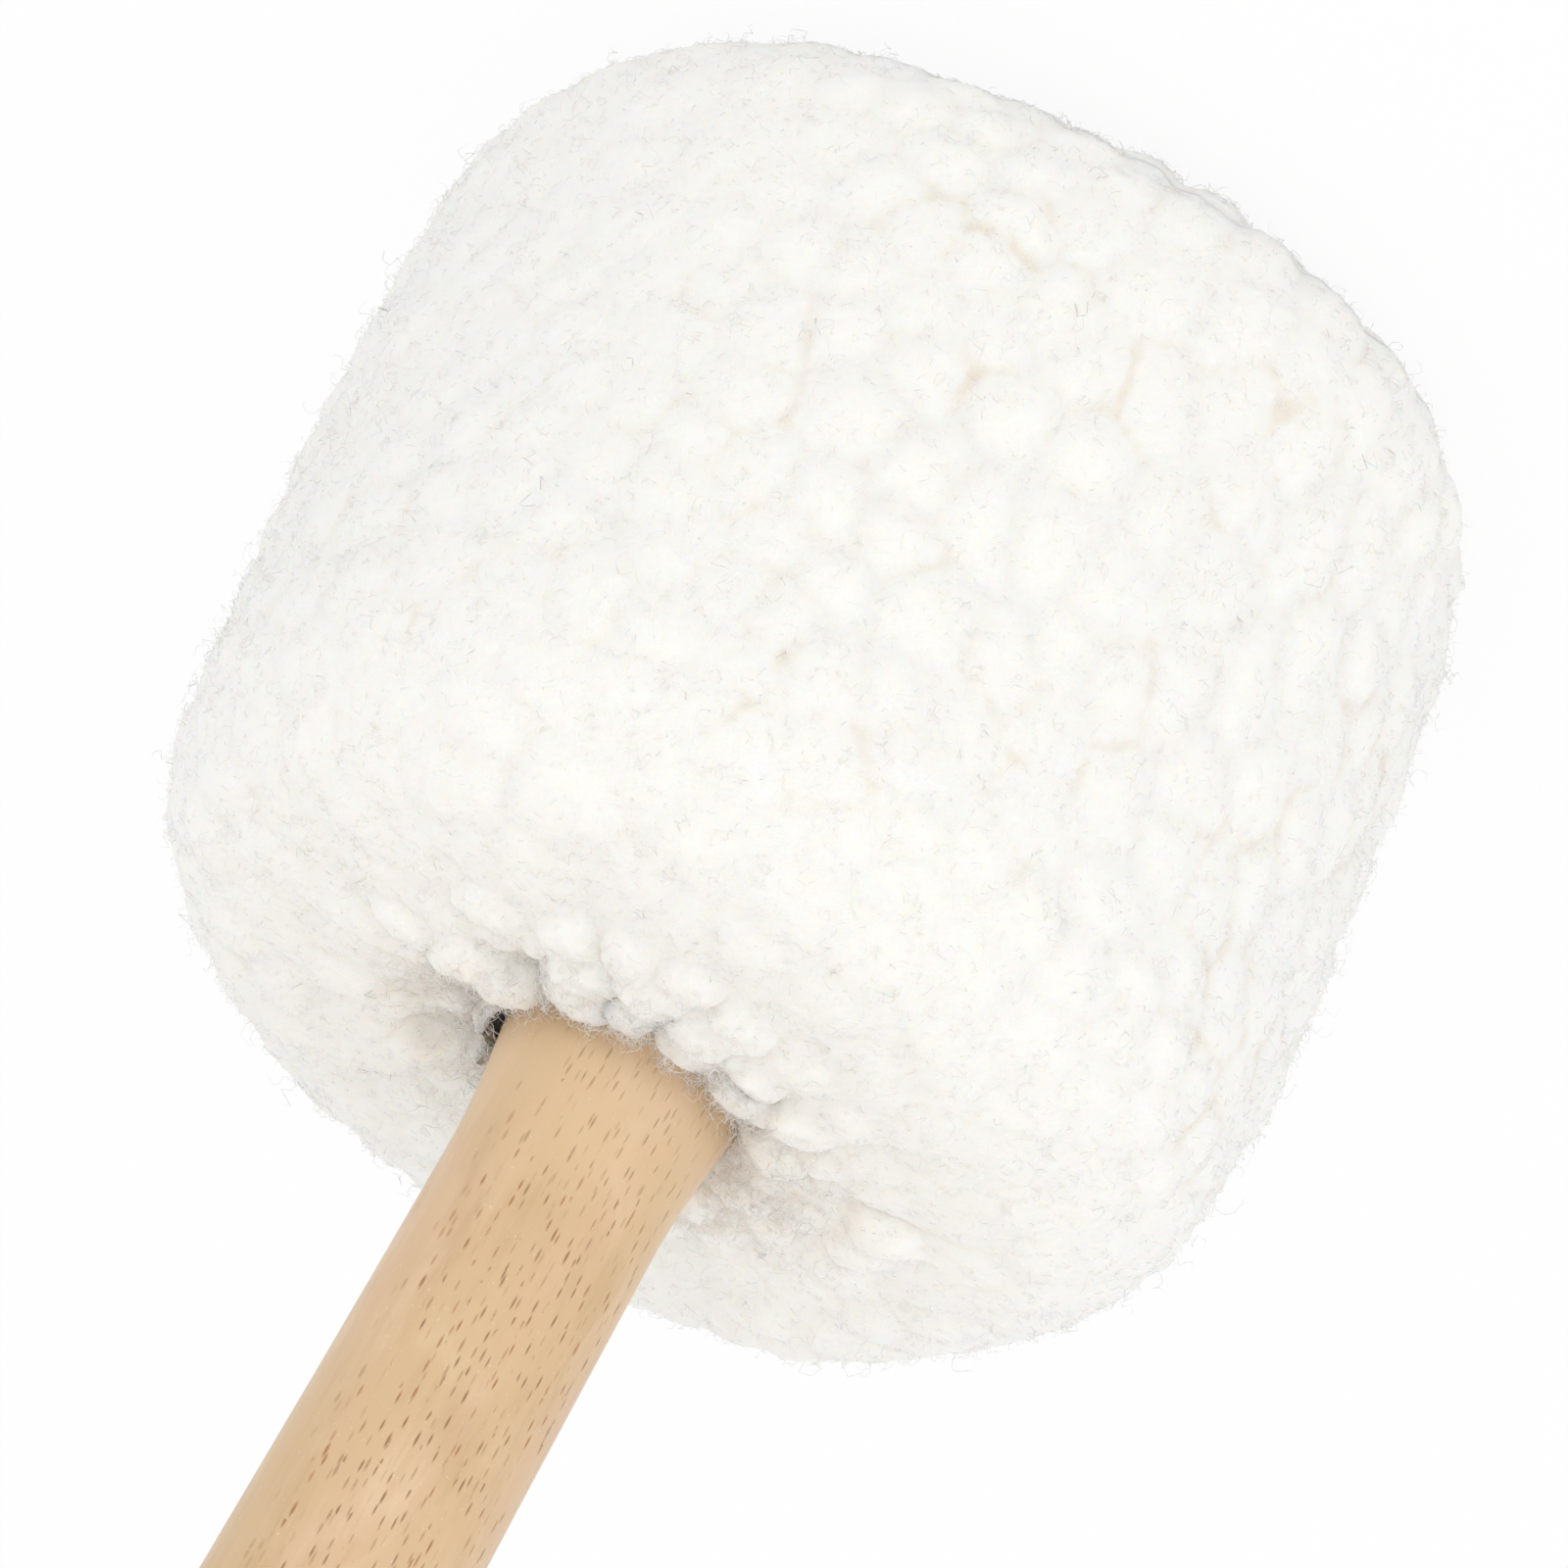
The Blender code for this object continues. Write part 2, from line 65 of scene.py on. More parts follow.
# The head's outline, read from the frame where a node's box gives it
BAND_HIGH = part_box("fleece_band")[1]
COLLAR_LOW, COLLAR_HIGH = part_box("neck_collar")
HEAD_RADIUS = BAND_HIGH.x
HEAD_HEIGHT = BAND_HIGH.z
HEM_HEIGHT = COLLAR_LOW.z
OPENING_RADIUS = COLLAR_HIGH.x
LIP_DROP = 5.5 * MM
LIP_HEIGHT = HEAD_HEIGHT - LIP_DROP
LIP_RADIUS = 16.7 * MM
WALL = 9.2 * MM
CROWN_ROUND = 22 * MM
BASE_ROUND = 20 * MM
BASE_DRAW_IN = 3 * MM
SIDE_SWELL = 1 * MM
CROWN_DOME = 1.2 * MM
CROWN_CUT = 0.5 * MM
SEAM_ANGLE = math.radians(46)
SEAM_GAP = 0.3 * MM
HEM_WIDTH = 8 * MM
FOLDS = 15
FOLD_DEPTH = 1.0 * MM
SCALLOP = 1.7 * MM
# The balls of wool that bunch up about the neck: their radius, the share of it by which their
# middles lie under the cover, and how far the cover is drawn in round the first ring of them
BALL_RADIUS = 4.7 * MM
BALL_SINK = 0.66
BALL_TRENCH = 0.4 * MM
# The rings in which they lie: how many, how far out from the lip, and how far under the base face
FIRST_RING = (FOLDS, 1.6 * MM, 1.2 * MM)
OUTER_RINGS = ((21, 8.2 * MM, 0.5 * MM), (27, 15.4 * MM, 0.5 * MM))
# Where the first ring has no balls: the middle of each gap and half its width, in degrees from +X
BALL_GAPS = ((193, 45), (350, 24))
# The side on which most of the balls further out lie, in degrees from +X
BALL_SIDE = 75
# The side on which the cover stands off the neck, so that the collar shows: degrees from +X
OPEN_SIDE = 190
OPEN_GAP = 2.3 * MM
# The side on which it lies hardest against the neck
SHUT_SIDE = 335
SHUT_REACH = 0.3 * MM
# The cover's lip from the base face to its inner edge: radius, and height under the head's base
LIP_LINE = (
    (24.0, -0.7),
    (21.0, -1.0),
    (18.5, -1.2),
    (16.6, -1.7),
    (15.0, -2.4),
    (14.2, -3.1),
    (14.6, -3.8),
    (16.2, -3.9),
)
# The cover's mesh: fine columns in each coarse one, and the name of its map for baking
ROUND_STEPS = 8
BAKE_MAP = "OFBake"
# The most points of a skin that are tried as the middle of a tuft
TUFT_TRIES = 26000
# Sizes of the domed curls on a tuft, coarse and fine, and of the fuzz on them, and its height
CURL_SIZES = (2.4 * MM, 1.2 * MM)
FUZZ_SIZE = 0.8 * MM
FUZZ_HEIGHT = 0.16 * MM
# Width of the gap between tufts that is painted with crevice shade
CREVICE_WIDTH = 1.8 * MM
# The side of the head, in degrees from +X, where tufts lie calm, and the one where they lie long
CALM_SIDE = 170
LONG_SIDE = 20
# A fibre's curls: turns between two of its knots, and width and rise as shares of its length
FIBRE_TURNS = (0.12, 0.26)
FIBRE_CURL = (0.10, 0.22)
FIBRE_RISE = (0.45, 0.8)
# Frames of the cloth simulation that fills out the cover
STUFFING_FRAMES = 20
# Where the handle's wood is painted paler beside the fleece, as painted light that makes up for the
# fleece's shade on it: from and to these heights
LIGHTENED_WOOD = (HEAD_HEIGHT - 1.2 * MM, HEAD_HEIGHT + 26.8 * MM)
# Share of the floor that looks plain white to the camera. The rest shows the object's shadow.
FLOOR_GLOW = 0.93
# The lamps: name, the way to each as the camera sees it, and power in watts
LAMPS = (
    ("key", (-0.15, 0.85, 0.80), 18.8),
    ("fill", (0.8, 0.15, 0.8), 14.0),
    ("low", (-0.3, -0.7, 0.9), 9.0),
)


class CoverSettings(bpy.types.PropertyGroup):
    """The fleece cover's tufts, folds and colours."""

    tuft_spacing: FloatProperty(
        name="Tuft spacing",
        description="Distance between the middles of neighbouring tufts",
        default=7.0 * MM,
        unit="LENGTH",
    )
    tuft_height: FloatProperty(
        name="Tuft height",
        description="How far a tuft stands over the crevices round it",
        default=2.4 * MM,
        unit="LENGTH",
    )
    curl_height: FloatProperty(
        name="Curl height",
        description="Height of the small curls on each tuft",
        default=0.26 * MM,
        unit="LENGTH",
    )
    puff: FloatProperty(
        name="Puff",
        description="The furthest that the stuffing may push the cover out",
        default=2.5 * MM,
        unit="LENGTH",
    )
    wool: FloatVectorProperty(
        name="Wool",
        description="Colour of the tufts' tops",
        default=(0.93, 0.915, 0.875),
        subtype="COLOR",
    )
    # Painted shade: the warmer, darker tint for the shade that the handle and neck cast on the wool
    # round them
    neck_shade: FloatVectorProperty(
        name="Neck wool",
        description="Colour of the wool that lies round the handle",
        default=(0.84, 0.78, 0.67),
        subtype="COLOR",
    )
    # Painted shade: the tan that stands for the shade between the tufts
    crevice_shade: FloatVectorProperty(
        name="Crevice",
        description="Colour between the tufts",
        default=(0.83, 0.765, 0.66),
        subtype="COLOR",
    )
    shaded_curl: FloatVectorProperty(
        name="Shaded curl",
        description="Colour of the shaded curls on the tufts",
        default=(0.84, 0.785, 0.70),
        subtype="COLOR",
    )
    bright_curl: FloatVectorProperty(
        name="Bright curl",
        description="Colour of the curls that catch the light",
        default=(0.96, 0.95, 0.92),
        subtype="COLOR",
    )
    # Grey mixed in, in patches, only where the crevices are deepest and away from the neck
    deep_grey: FloatVectorProperty(
        name="Grey curl",
        description="Colour of the few grey curls deep in the crevices",
        default=(0.55, 0.54, 0.52),
        subtype="COLOR",
    )


class PileSettings(bpy.types.PropertyGroup):
    """The loose curly fibres of the fleece."""

    count: IntProperty(
        name="Fibres",
        description="Fibres in each piece of pile",
        default=10800,
    )
    length: FloatProperty(
        name="Fibre length",
        description="Mean length of a fibre from root to tip, as it curls",
        default=3.0 * MM,
        unit="LENGTH",
    )
    thickness: FloatProperty(
        name="Fibre thickness",
        description="Thickness of a fibre at its middle",
        default=0.10 * MM,
        unit="LENGTH",
    )
    colour: FloatVectorProperty(
        name="Fibre colour",
        description="Colour of the fibres over the head",
        default=(0.965, 0.95, 0.92),
        subtype="COLOR",
    )
    neck_colour: FloatVectorProperty(
        name="Neck fibre colour",
        description="Colour of the fibres round the handle",
        default=(0.93, 0.84, 0.76),
        subtype="COLOR",
    )
    shaded_colour: FloatVectorProperty(
        name="Shaded fibre colour",
        description="Colour that the darker fibres go towards",
        default=(0.88, 0.80, 0.71),
        subtype="COLOR",
    )
    stray_colour: FloatVectorProperty(
        name="Stray fibre colour",
        description="Colour that the few brownish fibres in the crevices go towards",
        default=(0.55, 0.47, 0.37),
        subtype="COLOR",
    )


class PaddingSettings(bpy.types.PropertyGroup):
    """The felt, wadding, collar and cord under the cover."""

    felt: FloatVectorProperty(
        name="Felt",
        description="Colour of the pressed felt round the core",
        default=(0.40, 0.39, 0.37),
        subtype="COLOR",
    )
    felt_threads: FloatVectorProperty(
        name="Felt threads",
        description="Colour of the pale threads in the felt",
        default=(0.62, 0.61, 0.58),
        subtype="COLOR",
    )
    wadding: FloatVectorProperty(
        name="Wadding",
        description="Colour of the soft wadding",
        default=(0.86, 0.86, 0.85),
        subtype="COLOR",
    )
    wadding_threads: FloatVectorProperty(
        name="Wadding threads",
        description="Colour of the pale threads in the wadding",
        default=(0.93, 0.93, 0.93),
        subtype="COLOR",
    )
    collar: FloatVectorProperty(
        name="Collar",
        description="Colour of the dark felt collar at the neck",
        default=(0.035, 0.035, 0.042),
        subtype="COLOR",
    )
    collar_threads: FloatVectorProperty(
        name="Collar threads",
        description="Colour of the grey threads in the collar",
        default=(0.25, 0.25, 0.27),
        subtype="COLOR",
    )
    cord: FloatVectorProperty(
        name="Cord",
        description="Colour of the cord's strands",
        default=(0.80, 0.76, 0.67),
        subtype="COLOR",
    )
    cord_lay: FloatVectorProperty(
        name="Cord lay",
        description="Colour between the cord's strands",
        default=(0.62, 0.57, 0.47),
        subtype="COLOR",
    )


class BeechSettings(bpy.types.PropertyGroup):
    """The lacquered beech of the handle."""

    ground: FloatVectorProperty(
        name="Ground",
        description="Main colour of the wood",
        default=(0.717, 0.495, 0.298),
        subtype="COLOR",
    )
    # Also the painted light that makes the wood paler beside the fleece, against the fleece's shade
    # on it
    pale: FloatVectorProperty(
        name="Pale wood",
        description="Colour of the palest streaks along the grain",
        default=(0.828, 0.608, 0.407),
        subtype="COLOR",
    )
    dark: FloatVectorProperty(
        name="Late wood",
        description="Colour of the darker streaks along the grain",
        default=(0.54, 0.345, 0.18),
        subtype="COLOR",
    )
    golden: FloatVectorProperty(
        name="Golden wood",
        description="Colour of the yellower patches",
        default=(0.66, 0.475, 0.245),
        subtype="COLOR",
    )
    fleck: FloatVectorProperty(
        name="Fleck",
        description="Colour of most ray flecks",
        default=(0.26, 0.125, 0.045),
        subtype="COLOR",
    )
    warm_fleck: FloatVectorProperty(
        name="Warm fleck",
        description="Colour of the orange-brown ray flecks",
        default=(0.38, 0.15, 0.035),
        subtype="COLOR",
    )
    speck: FloatVectorProperty(
        name="Speck",
        description="Colour of the fine pale specks",
        default=(0.88, 0.78, 0.66),
        subtype="COLOR",
    )
    ray_turn: FloatProperty(
        name="Ray turn",
        description="How far the wood's rays are turned round the handle, in degrees",
        default=14,
    )
    fleck_length: FloatProperty(
        name="Fleck length",
        description="Length of a ray fleck along the grain",
        default=1.9 * MM,
        unit="LENGTH",
    )
    fleck_width: FloatProperty(
        name="Fleck width",
        description="Width of a ray fleck across the grain",
        default=0.30 * MM,
        unit="LENGTH",
    )
    lacquer_roughness: FloatProperty(
        name="Lacquer roughness",
        description="Roughness of the satin lacquer",
        default=0.38,
        subtype="FACTOR",
    )


class StageSettings(bpy.types.PropertyGroup):
    """The camera, lamps, floor and background."""

    lens: FloatProperty(
        name="Lens",
        description="Focal length of the camera",
        default=108.585,
        unit="CAMERA",
    )
    elevation: FloatProperty(
        name="Elevation",
        description="Angle of the camera above the floor",
        default=math.radians(30),
        subtype="ANGLE",
    )
    lean: FloatProperty(
        name="Handle lean",
        description="Angle of the handle from upright in the picture",
        default=math.radians(29.28),
        subtype="ANGLE",
    )
    offset: FloatVectorProperty(
        name="Offset",
        description="Where the crown's middle lies from the camera: right, up and back",
        default=(0.02699, 0.04803, -0.5658),
        unit="LENGTH",
    )
    ambient: FloatProperty(
        name="Ambient light",
        description="Strength of the light from all round",
        default=0.885,
    )
    lamp_size: FloatProperty(
        name="Lamp size",
        description="Width of each round lamp",
        default=1.8,
        unit="LENGTH",
    )
    lamp_distance: FloatProperty(
        name="Lamp distance",
        description="Distance of each lamp from the middle of the head",
        default=2.6,
        unit="LENGTH",
    )


class Value:
    """One output of a shader node. Sums on values add Math nodes."""

    def __init__(self, nodes, socket):
        self.nodes = nodes
        self.socket = socket

    def maths(self, operation, *parts):
        return self.nodes.maths(operation, *parts)

    def __add__(self, other):
        return self.maths("ADD", self, other)

    def __sub__(self, other):
        return self.maths("SUBTRACT", self, other)

    def __rsub__(self, other):
        return self.maths("SUBTRACT", other, self)

    def __mul__(self, other):
        return self.maths("MULTIPLY", self, other)

    def __abs__(self):
        return self.maths("ABSOLUTE", self)

    __radd__ = __add__
    __rmul__ = __mul__


class Nodes:
    """A tree of shader nodes, and the one way in which they are added."""

    def __init__(self, tree):
        self.tree = tree

    def node(self, kind, settings=None, inputs=(), output=0):
        """Adds a node. settings come first, and inputs are given by place or by name."""
        made = self.tree.nodes.new("ShaderNode" + kind)
        for name, value in (settings or {}).items():
            setattr(made, name, value)
        named = inputs.items() if isinstance(inputs, dict) else enumerate(inputs)
        for key, value in named:
            if isinstance(value, Value):
                self.tree.links.new(value.socket, made.inputs[key])
            else:
                made.inputs[key].default_value = value
        return Value(self, made.outputs[output])

    def maths(self, operation, *parts):
        return self.node("Math", {"operation": operation}, parts)

    def sees_white(self):
        """1 for rays that see the background white: from the camera, off gloss, through glass."""
        camera, gloss, glass = (
            self.node("LightPath", output=f"Is {kind} Ray")
            for kind in ("Camera", "Glossy", "Transmission")
        )
        return self.maths("MAXIMUM", camera, self.maths("MAXIMUM", gloss, glass))


class Finish(Nodes):
    """A material with one Principled shader, whose constant sockets are given by name."""

    def __init__(self, name, **constants):
        self.material = bpy.data.materials.new(name)
        self.material.use_nodes = True
        super().__init__(self.material.node_tree)
        self.shader = self.tree.nodes["Principled BSDF"]
        for socket, value in constants.items():
            self.shader.inputs[socket.replace("_", " ")].default_value = value

    def place(self, scale=(1, 1, 1), turn=(0, 0, 0)):
        """The piece's own coordinates, turned and then scaled."""
        own = self.node("TexCoord", output="Object")
        return self.node("Mapping", inputs={"Vector": own, "Rotation": turn, "Scale": scale})

    def split(self, vector):
        """The three parts of a vector as values."""
        separate = self.node("SeparateXYZ", inputs=(vector,))
        return [Value(self, socket) for socket in separate.socket.node.outputs]

    def attribute(self, name):
        """The value that the mesh holds at each point under a name."""
        return self.node("Attribute", {"attribute_name": name}, output="Fac")

    def noise(self, place, scale, detail=2.0, roughness=0.5, distortion=0.0):
        inputs = {
            "Vector": place,
            "Scale": scale,
            "Detail": detail,
            "Roughness": roughness,
            "Distortion": distortion,
        }
        return self.node("TexNoise", inputs=inputs)

    def between(self, value, low, high):
        """0 where value is low, 1 where it is high, with a soft way between."""
        return self.node("MapRange", {"interpolation_type": "SMOOTHSTEP"}, (value, low, high))

    def mixed(self, share, one, other):
        """A colour that goes from one to other as share goes from 0 to 1."""
        settings = {"data_type": "RGBA", "clamp_factor": True}
        one, other = (x if isinstance(x, Value) else (*x, 1.0) for x in (one, other))
        # Sockets 6 and 7 are the node's two colours, and output 2 is the mixed one
        return self.node("Mix", settings, {0: share, 6: one, 7: other}, output=2)

    def vector(self, operation, *parts, output=0):
        return self.node("VectorMath", {"operation": operation}, parts, output)

    def bump(self, height, distance, strength=1.0):
        inputs = {"Height": height, "Distance": distance, "Strength": strength}
        return self.node("Bump", inputs=inputs)

    def wear(self, **sockets):
        """Links values to the shader's sockets."""
        for name, value in sockets.items():
            self.tree.links.new(value.socket, self.shader.inputs[name.replace("_", " ")])
        return self.material


def wool_finish(name, settings):
    """Cream wool. The attribute pile_depth says how deep between tufts a point lies and near_neck
    how near the handle; the colour paints both as shade.
    """
    wool = Finish(
        name,
        Roughness=0.95,
        Specular_IOR_Level=0.15,
        Sheen_Weight=0.25,
        Sheen_Roughness=0.5,
        Subsurface_Weight=0.85,
        Subsurface_Radius=(1.0, 0.8, 0.6),
        Subsurface_Scale=3.4 * MM,
    )
    place = wool.place()
    depth = wool.attribute("pile_depth")
    patches = wool.noise(place, 90, detail=2)
    # Painted shade: tan where pile_depth is high, between the tufts and in the creases round the
    # neck balls
    tint = depth * 0.9 + (patches - 0.5) * 0.25
    colour = wool.mixed(wool.between(tint, 0.1, 0.8), settings.wool, settings.crevice_shade)
    # Painted shade: warmer and darker near the handle
    near_neck = wool.attribute("near_neck")
    colour = wool.mixed(near_neck * 0.5, colour, settings.neck_shade)
    strands = wool.noise(place, 1100, detail=2, roughness=0.6, distortion=2.5)
    curls = wool.noise(place, 620, detail=1.5, roughness=0.6, distortion=3.5)
    pale_lines = wool.between(1 - abs(strands - 0.52) * 2, 0.90, 0.99)
    dark_lines = wool.between(1 - abs(curls - 0.47) * 2, 0.93, 1.0)
    colour = wool.mixed(dark_lines * 0.28, colour, settings.shaded_curl)
    colour = wool.mixed(pale_lines * 0.4, colour, settings.bright_curl)
    # Grey in patches where the crevices are deepest, more along the dark curls and none near the
    # neck
    grey = wool.between(wool.noise(place, 60, detail=1), 0.60, 0.75) * wool.between(depth, 0.6, 1)
    grey = grey * 0.5 * (0.4 + dark_lines) * (1 - near_neck)
    colour = wool.mixed(grey, colour, settings.deep_grey)
    height = pale_lines - dark_lines * 0.8 + strands + curls
    return wool.wear(Base_Color=colour, Normal=wool.bump(height, 0.25 * MM, 0.2))


def fibre_finish(name, settings):
    """Single wool fibres, each a little lighter or darker than the next."""
    fibre = Finish(
        name,
        Roughness=0.7,
        Specular_IOR_Level=0.3,
        Sheen_Weight=0.2,
        Sheen_Roughness=0.4,
        Subsurface_Weight=0.7,
        Subsurface_Radius=(1.0, 0.9, 0.75),
        Subsurface_Scale=0.3 * MM,
    )
    shade = fibre.attribute("shade")
    neck = fibre.attribute("neck")
    colour = fibre.mixed(neck, settings.colour, settings.neck_colour)
    colour = fibre.mixed(shade * 0.2, colour, settings.shaded_colour)
    colour = fibre.mixed(fibre.attribute("stray"), colour, settings.stray_colour)
    return fibre.wear(Base_Color=colour)


def ray_flecks(beech, place, settings):
    """Ends of the wood's rays: short dark spindles along the grain, in loose slanting rows."""
    # Width and height of each row's cells in millimetres, its flecks' size, and where it starts
    rows = ((1.5, 2.7, 1.0, 0.0), (2.2, 3.9, 1.2, 7.3))
    flecks = []
    for across, along, size, shift in rows:
        shifted = beech.vector("ADD", place, (shift, shift, shift))
        cell_size = (1 / (across * MM), 1 / (16 * MM), 1 / (along * MM))
        cells = beech.vector("MULTIPLY", shifted, cell_size)
        inputs = {"Vector": cells, "Scale": 1.0, "Randomness": 0.8}
        middle = beech.node("TexVoronoi", inputs=inputs, output="Position")
        chance = beech.node("TexVoronoi", inputs=inputs, output="Color")
        away = beech.vector("SUBTRACT", cells, middle)
        thin = 2 * across * MM / (settings.fleck_width * size)
        long = 2 * along * MM / (settings.fleck_length * size)
        reach = beech.vector("LENGTH", beech.vector("MULTIPLY", away, (thin, 0.6, long)), output=1)
        drawn = beech.node("SeparateColor", inputs=(chance,))
        flecks.append((1 - beech.between(reach, 0.35, 1.1)) * beech.between(drawn, 0.05, 1.0))
    return beech.maths("MAXIMUM", *flecks)


def beech_finish(name, settings, flecks=1.0):
    """Lacquered beech. Its rays run across it, so that their ends show on two of its faces."""
    beech = Finish(name, Specular_IOR_Level=0.45, Coat_Roughness=0.4)
    place = beech.place(turn=(0, 0, math.radians(settings.ray_turn)))
    grain = beech.node("Mapping", inputs={"Vector": place, "Scale": (1, 1, 0.10)})
    short = beech.node("Mapping", inputs={"Vector": place, "Scale": (1, 1, 0.4)})
    across, ahead, up = beech.split(place)
    broad = beech.noise(grain, 420, detail=3, roughness=0.55, distortion=0.5)
    fine = beech.noise(grain, 1500, detail=2)
    cloud = beech.noise(short, 190, detail=4, distortion=1.0)
    blotch = beech.noise(place, 60, detail=2)
    pale = beech.between(cloud * 0.6 + broad * 0.4, 0.47, 0.66)
    late = beech.between(broad * 0.6 + blotch * 0.4, 0.46, 0.66)
    colour = beech.mixed(pale * 0.75, settings.ground, settings.pale)
    colour = beech.mixed(late * 0.55, colour, settings.dark)
    colour = beech.mixed(fine * 0.16, colour, settings.dark)

    # Painted light: the wood beside the fleece is painted paler, to make up for the shade that the
    # fleece casts on it
    near_head = 1 - beech.between(up + (blotch - 0.5) * 0.03, *LIGHTENED_WOOD)
    colour = beech.mixed(near_head * 0.8, colour, settings.pale)
    golden = beech.between(beech.noise(short, 70, detail=2), 0.42, 0.62)
    colour = beech.mixed(golden * 0.4, colour, settings.golden)
    side = beech.between(beech.maths("ARCTAN2", abs(ahead), abs(across)), 0.35, 0.75)
    fleck = ray_flecks(beech, place, settings) * side * (1 - near_head * 0.45)
    warm = beech.between(beech.noise(grain, 260, detail=0), 0.54, 0.62)
    tone = beech.mixed(warm, settings.fleck, settings.warm_fleck)
    colour = beech.mixed(fleck * 0.85 * flecks, colour, tone)
    speck = beech.between(beech.noise(place, 2400, detail=1), 0.70, 0.78)
    colour = beech.mixed(speck * 0.35, colour, settings.speck)

    gloss = settings.lacquer_roughness + (broad - 0.5) * 0.12 + fleck * 0.12
    height = fine * 0.4 + broad * 0.4 - fleck * 0.8 + blotch * 1.5
    coat = 0.15 + (cloud - 0.5) * 0.3
    return beech.wear(
        Base_Color=colour,
        Roughness=gloss,
        Coat_Weight=coat,
        Normal=beech.bump(height, 0.06 * MM, 0.5),
    )


def felt_finish(name, colour, fleck, scale=900):
    """Pressed felt: matted fibres, a little lighter or darker from place to place."""
    felt = Finish(name, Roughness=0.95, Specular_IOR_Level=0.15, Sheen_Weight=0.2)
    place = felt.place()
    mat = felt.noise(place, scale, detail=4, roughness=0.65, distortion=1.5)
    threads = felt.between(felt.noise(place, scale * 0.8, detail=2, distortion=4), 0.56, 0.66)
    shade = felt.mixed(felt.between(mat, 0.3, 0.7), [c * 0.7 for c in colour], colour)
    return felt.wear(
        Base_Color=felt.mixed(threads * 0.6, shade, fleck),
        Normal=felt.bump(mat + threads * 0.5, 0.3 * MM, 0.8),
    )


def rubber_finish():
    """Matte black rubber with a little dust."""
    rubber = Finish("black_rubber", Specular_IOR_Level=0.4)
    place = rubber.place()
    speckle = rubber.noise(place, 1800, detail=2)
    dust = rubber.noise(place, 120, detail=3)
    colour = rubber.mixed(dust * 0.6, (0.02, 0.02, 0.02), (0.05, 0.05, 0.048))
    return rubber.wear(
        Base_Color=colour,
        Roughness=0.6 + speckle * 0.3,
        Normal=rubber.bump(speckle, 0.05 * MM, 0.5),
    )


def steel_finish():
    """Zinc plating, brushed along the axis."""
    steel = Finish("zinc_plated_steel", Metallic=1.0)
    brushed = steel.noise(steel.place(scale=(1, 1, 12)), 900, detail=3)
    bloom = steel.noise(steel.place(), 260, detail=2)
    colour = steel.mixed(bloom, (0.56, 0.57, 0.58), (0.68, 0.69, 0.70))
    return steel.wear(
        Base_Color=colour,
        Roughness=0.25 + brushed * 0.25,
        Normal=steel.bump(brushed, 0.02 * MM, 0.5),
    )


def cord_finish(settings, radius):
    """Twisted cotton: the lay's strands run slantwise round the cord."""
    cotton = Finish("natural_cord", Roughness=0.85, Specular_IOR_Level=0.2)
    lay = cotton.node(
        "TexWave",
        {"bands_direction": "DIAGONAL"},
        {"Vector": cotton.place(), "Scale": 0.12 / radius, "Distortion": 1.0},
        output="Fac",
    )
    colour = cotton.mixed(lay, settings.cord_lay, settings.cord)
    return cotton.wear(Base_Color=colour, Normal=cotton.bump(lay, 0.2 * MM, 0.8))


def floor_finish():
    """White floor that keeps a faint shadow, and looks white to the camera and in gloss."""
    pale = (0.9, 0.9, 0.9, 1)
    floor = Finish("white_floor", Base_Color=pale, Roughness=1.0, Specular_IOR_Level=0)
    glow = floor.node("Emission", inputs={"Color": (1, 1, 1, 1), "Strength": 1.0})
    lit = Value(floor, floor.shader.outputs[0])
    mixed = floor.node("MixShader", inputs=(floor.sees_white() * FLOOR_GLOW, lit, glow))
    floor.tree.links.new(mixed.socket, floor.tree.nodes["Material Output"].inputs["Surface"])
    return floor.material


def only(piece):
    """Makes a piece the one selected and active object."""
    bpy.ops.object.select_all(action="DESELECT")
    piece.select_set(True)
    bpy.context.view_layer.objects.active = piece


def round_edges(piece, width):
    """Rounds a piece's edges, as pressed or sewn padding has them."""
    only(piece)
    modifier = piece.modifiers.new("soft edge", "BEVEL")
    modifier.width = width
    modifier.segments = 3
    modifier.angle_limit = math.radians(50)
    bpy.ops.object.modifier_apply(modifier=modifier.name)


def finish_piece(piece, slot, material, *nodes):
    """Gives a piece its material, hides the nodes that it stands for and gives it its body. Its
    slot is not used.
    """
    piece.data.materials.clear()
    piece.data.materials.append(material)
    if nodes:
        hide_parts(*nodes)
    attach(piece, BODY)
    return piece


def merged_copy(node, name):
    """A copy of a node's mesh as a new piece, its loose triangles joined into one skin."""
    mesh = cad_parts[node].data.copy()
    mesh.name = name
    piece = bpy.data.objects.new(name, mesh)
    bpy.context.scene.collection.objects.link(piece)
    only(piece)
    bpy.ops.object.mode_set(mode="EDIT")
    bpy.ops.mesh.select_all(action="SELECT")
    bpy.ops.mesh.remove_doubles(threshold=1e-5)
    bpy.ops.mesh.tris_convert_to_quads()
    bpy.ops.mesh.normals_make_consistent(inside=False)
    bpy.ops.object.mode_set(mode="OBJECT")
    return piece


def smooth(piece, degrees):
    """Shades a piece smooth where its faces meet at less than this angle."""
    only(piece)
    bpy.ops.object.shade_smooth_by_angle(angle=math.radians(degrees))


def lumps(points, size, seed):
    """Smooth noise of about -1 to 1 at each point, in lumps of a size."""
    return np.array([noise.noise(p) for p in (points / size + seed).tolist()])


def ramp(values, low, high):
    """0 up to low, 1 from high, with a soft way between."""
    share = np.clip((values - low) / (high - low), 0, 1)
    return share * share * (3 - 2 * share)


def unit(vectors):
    return vectors / np.maximum(np.linalg.norm(vectors, axis=-1, keepdims=True), 1e-12)


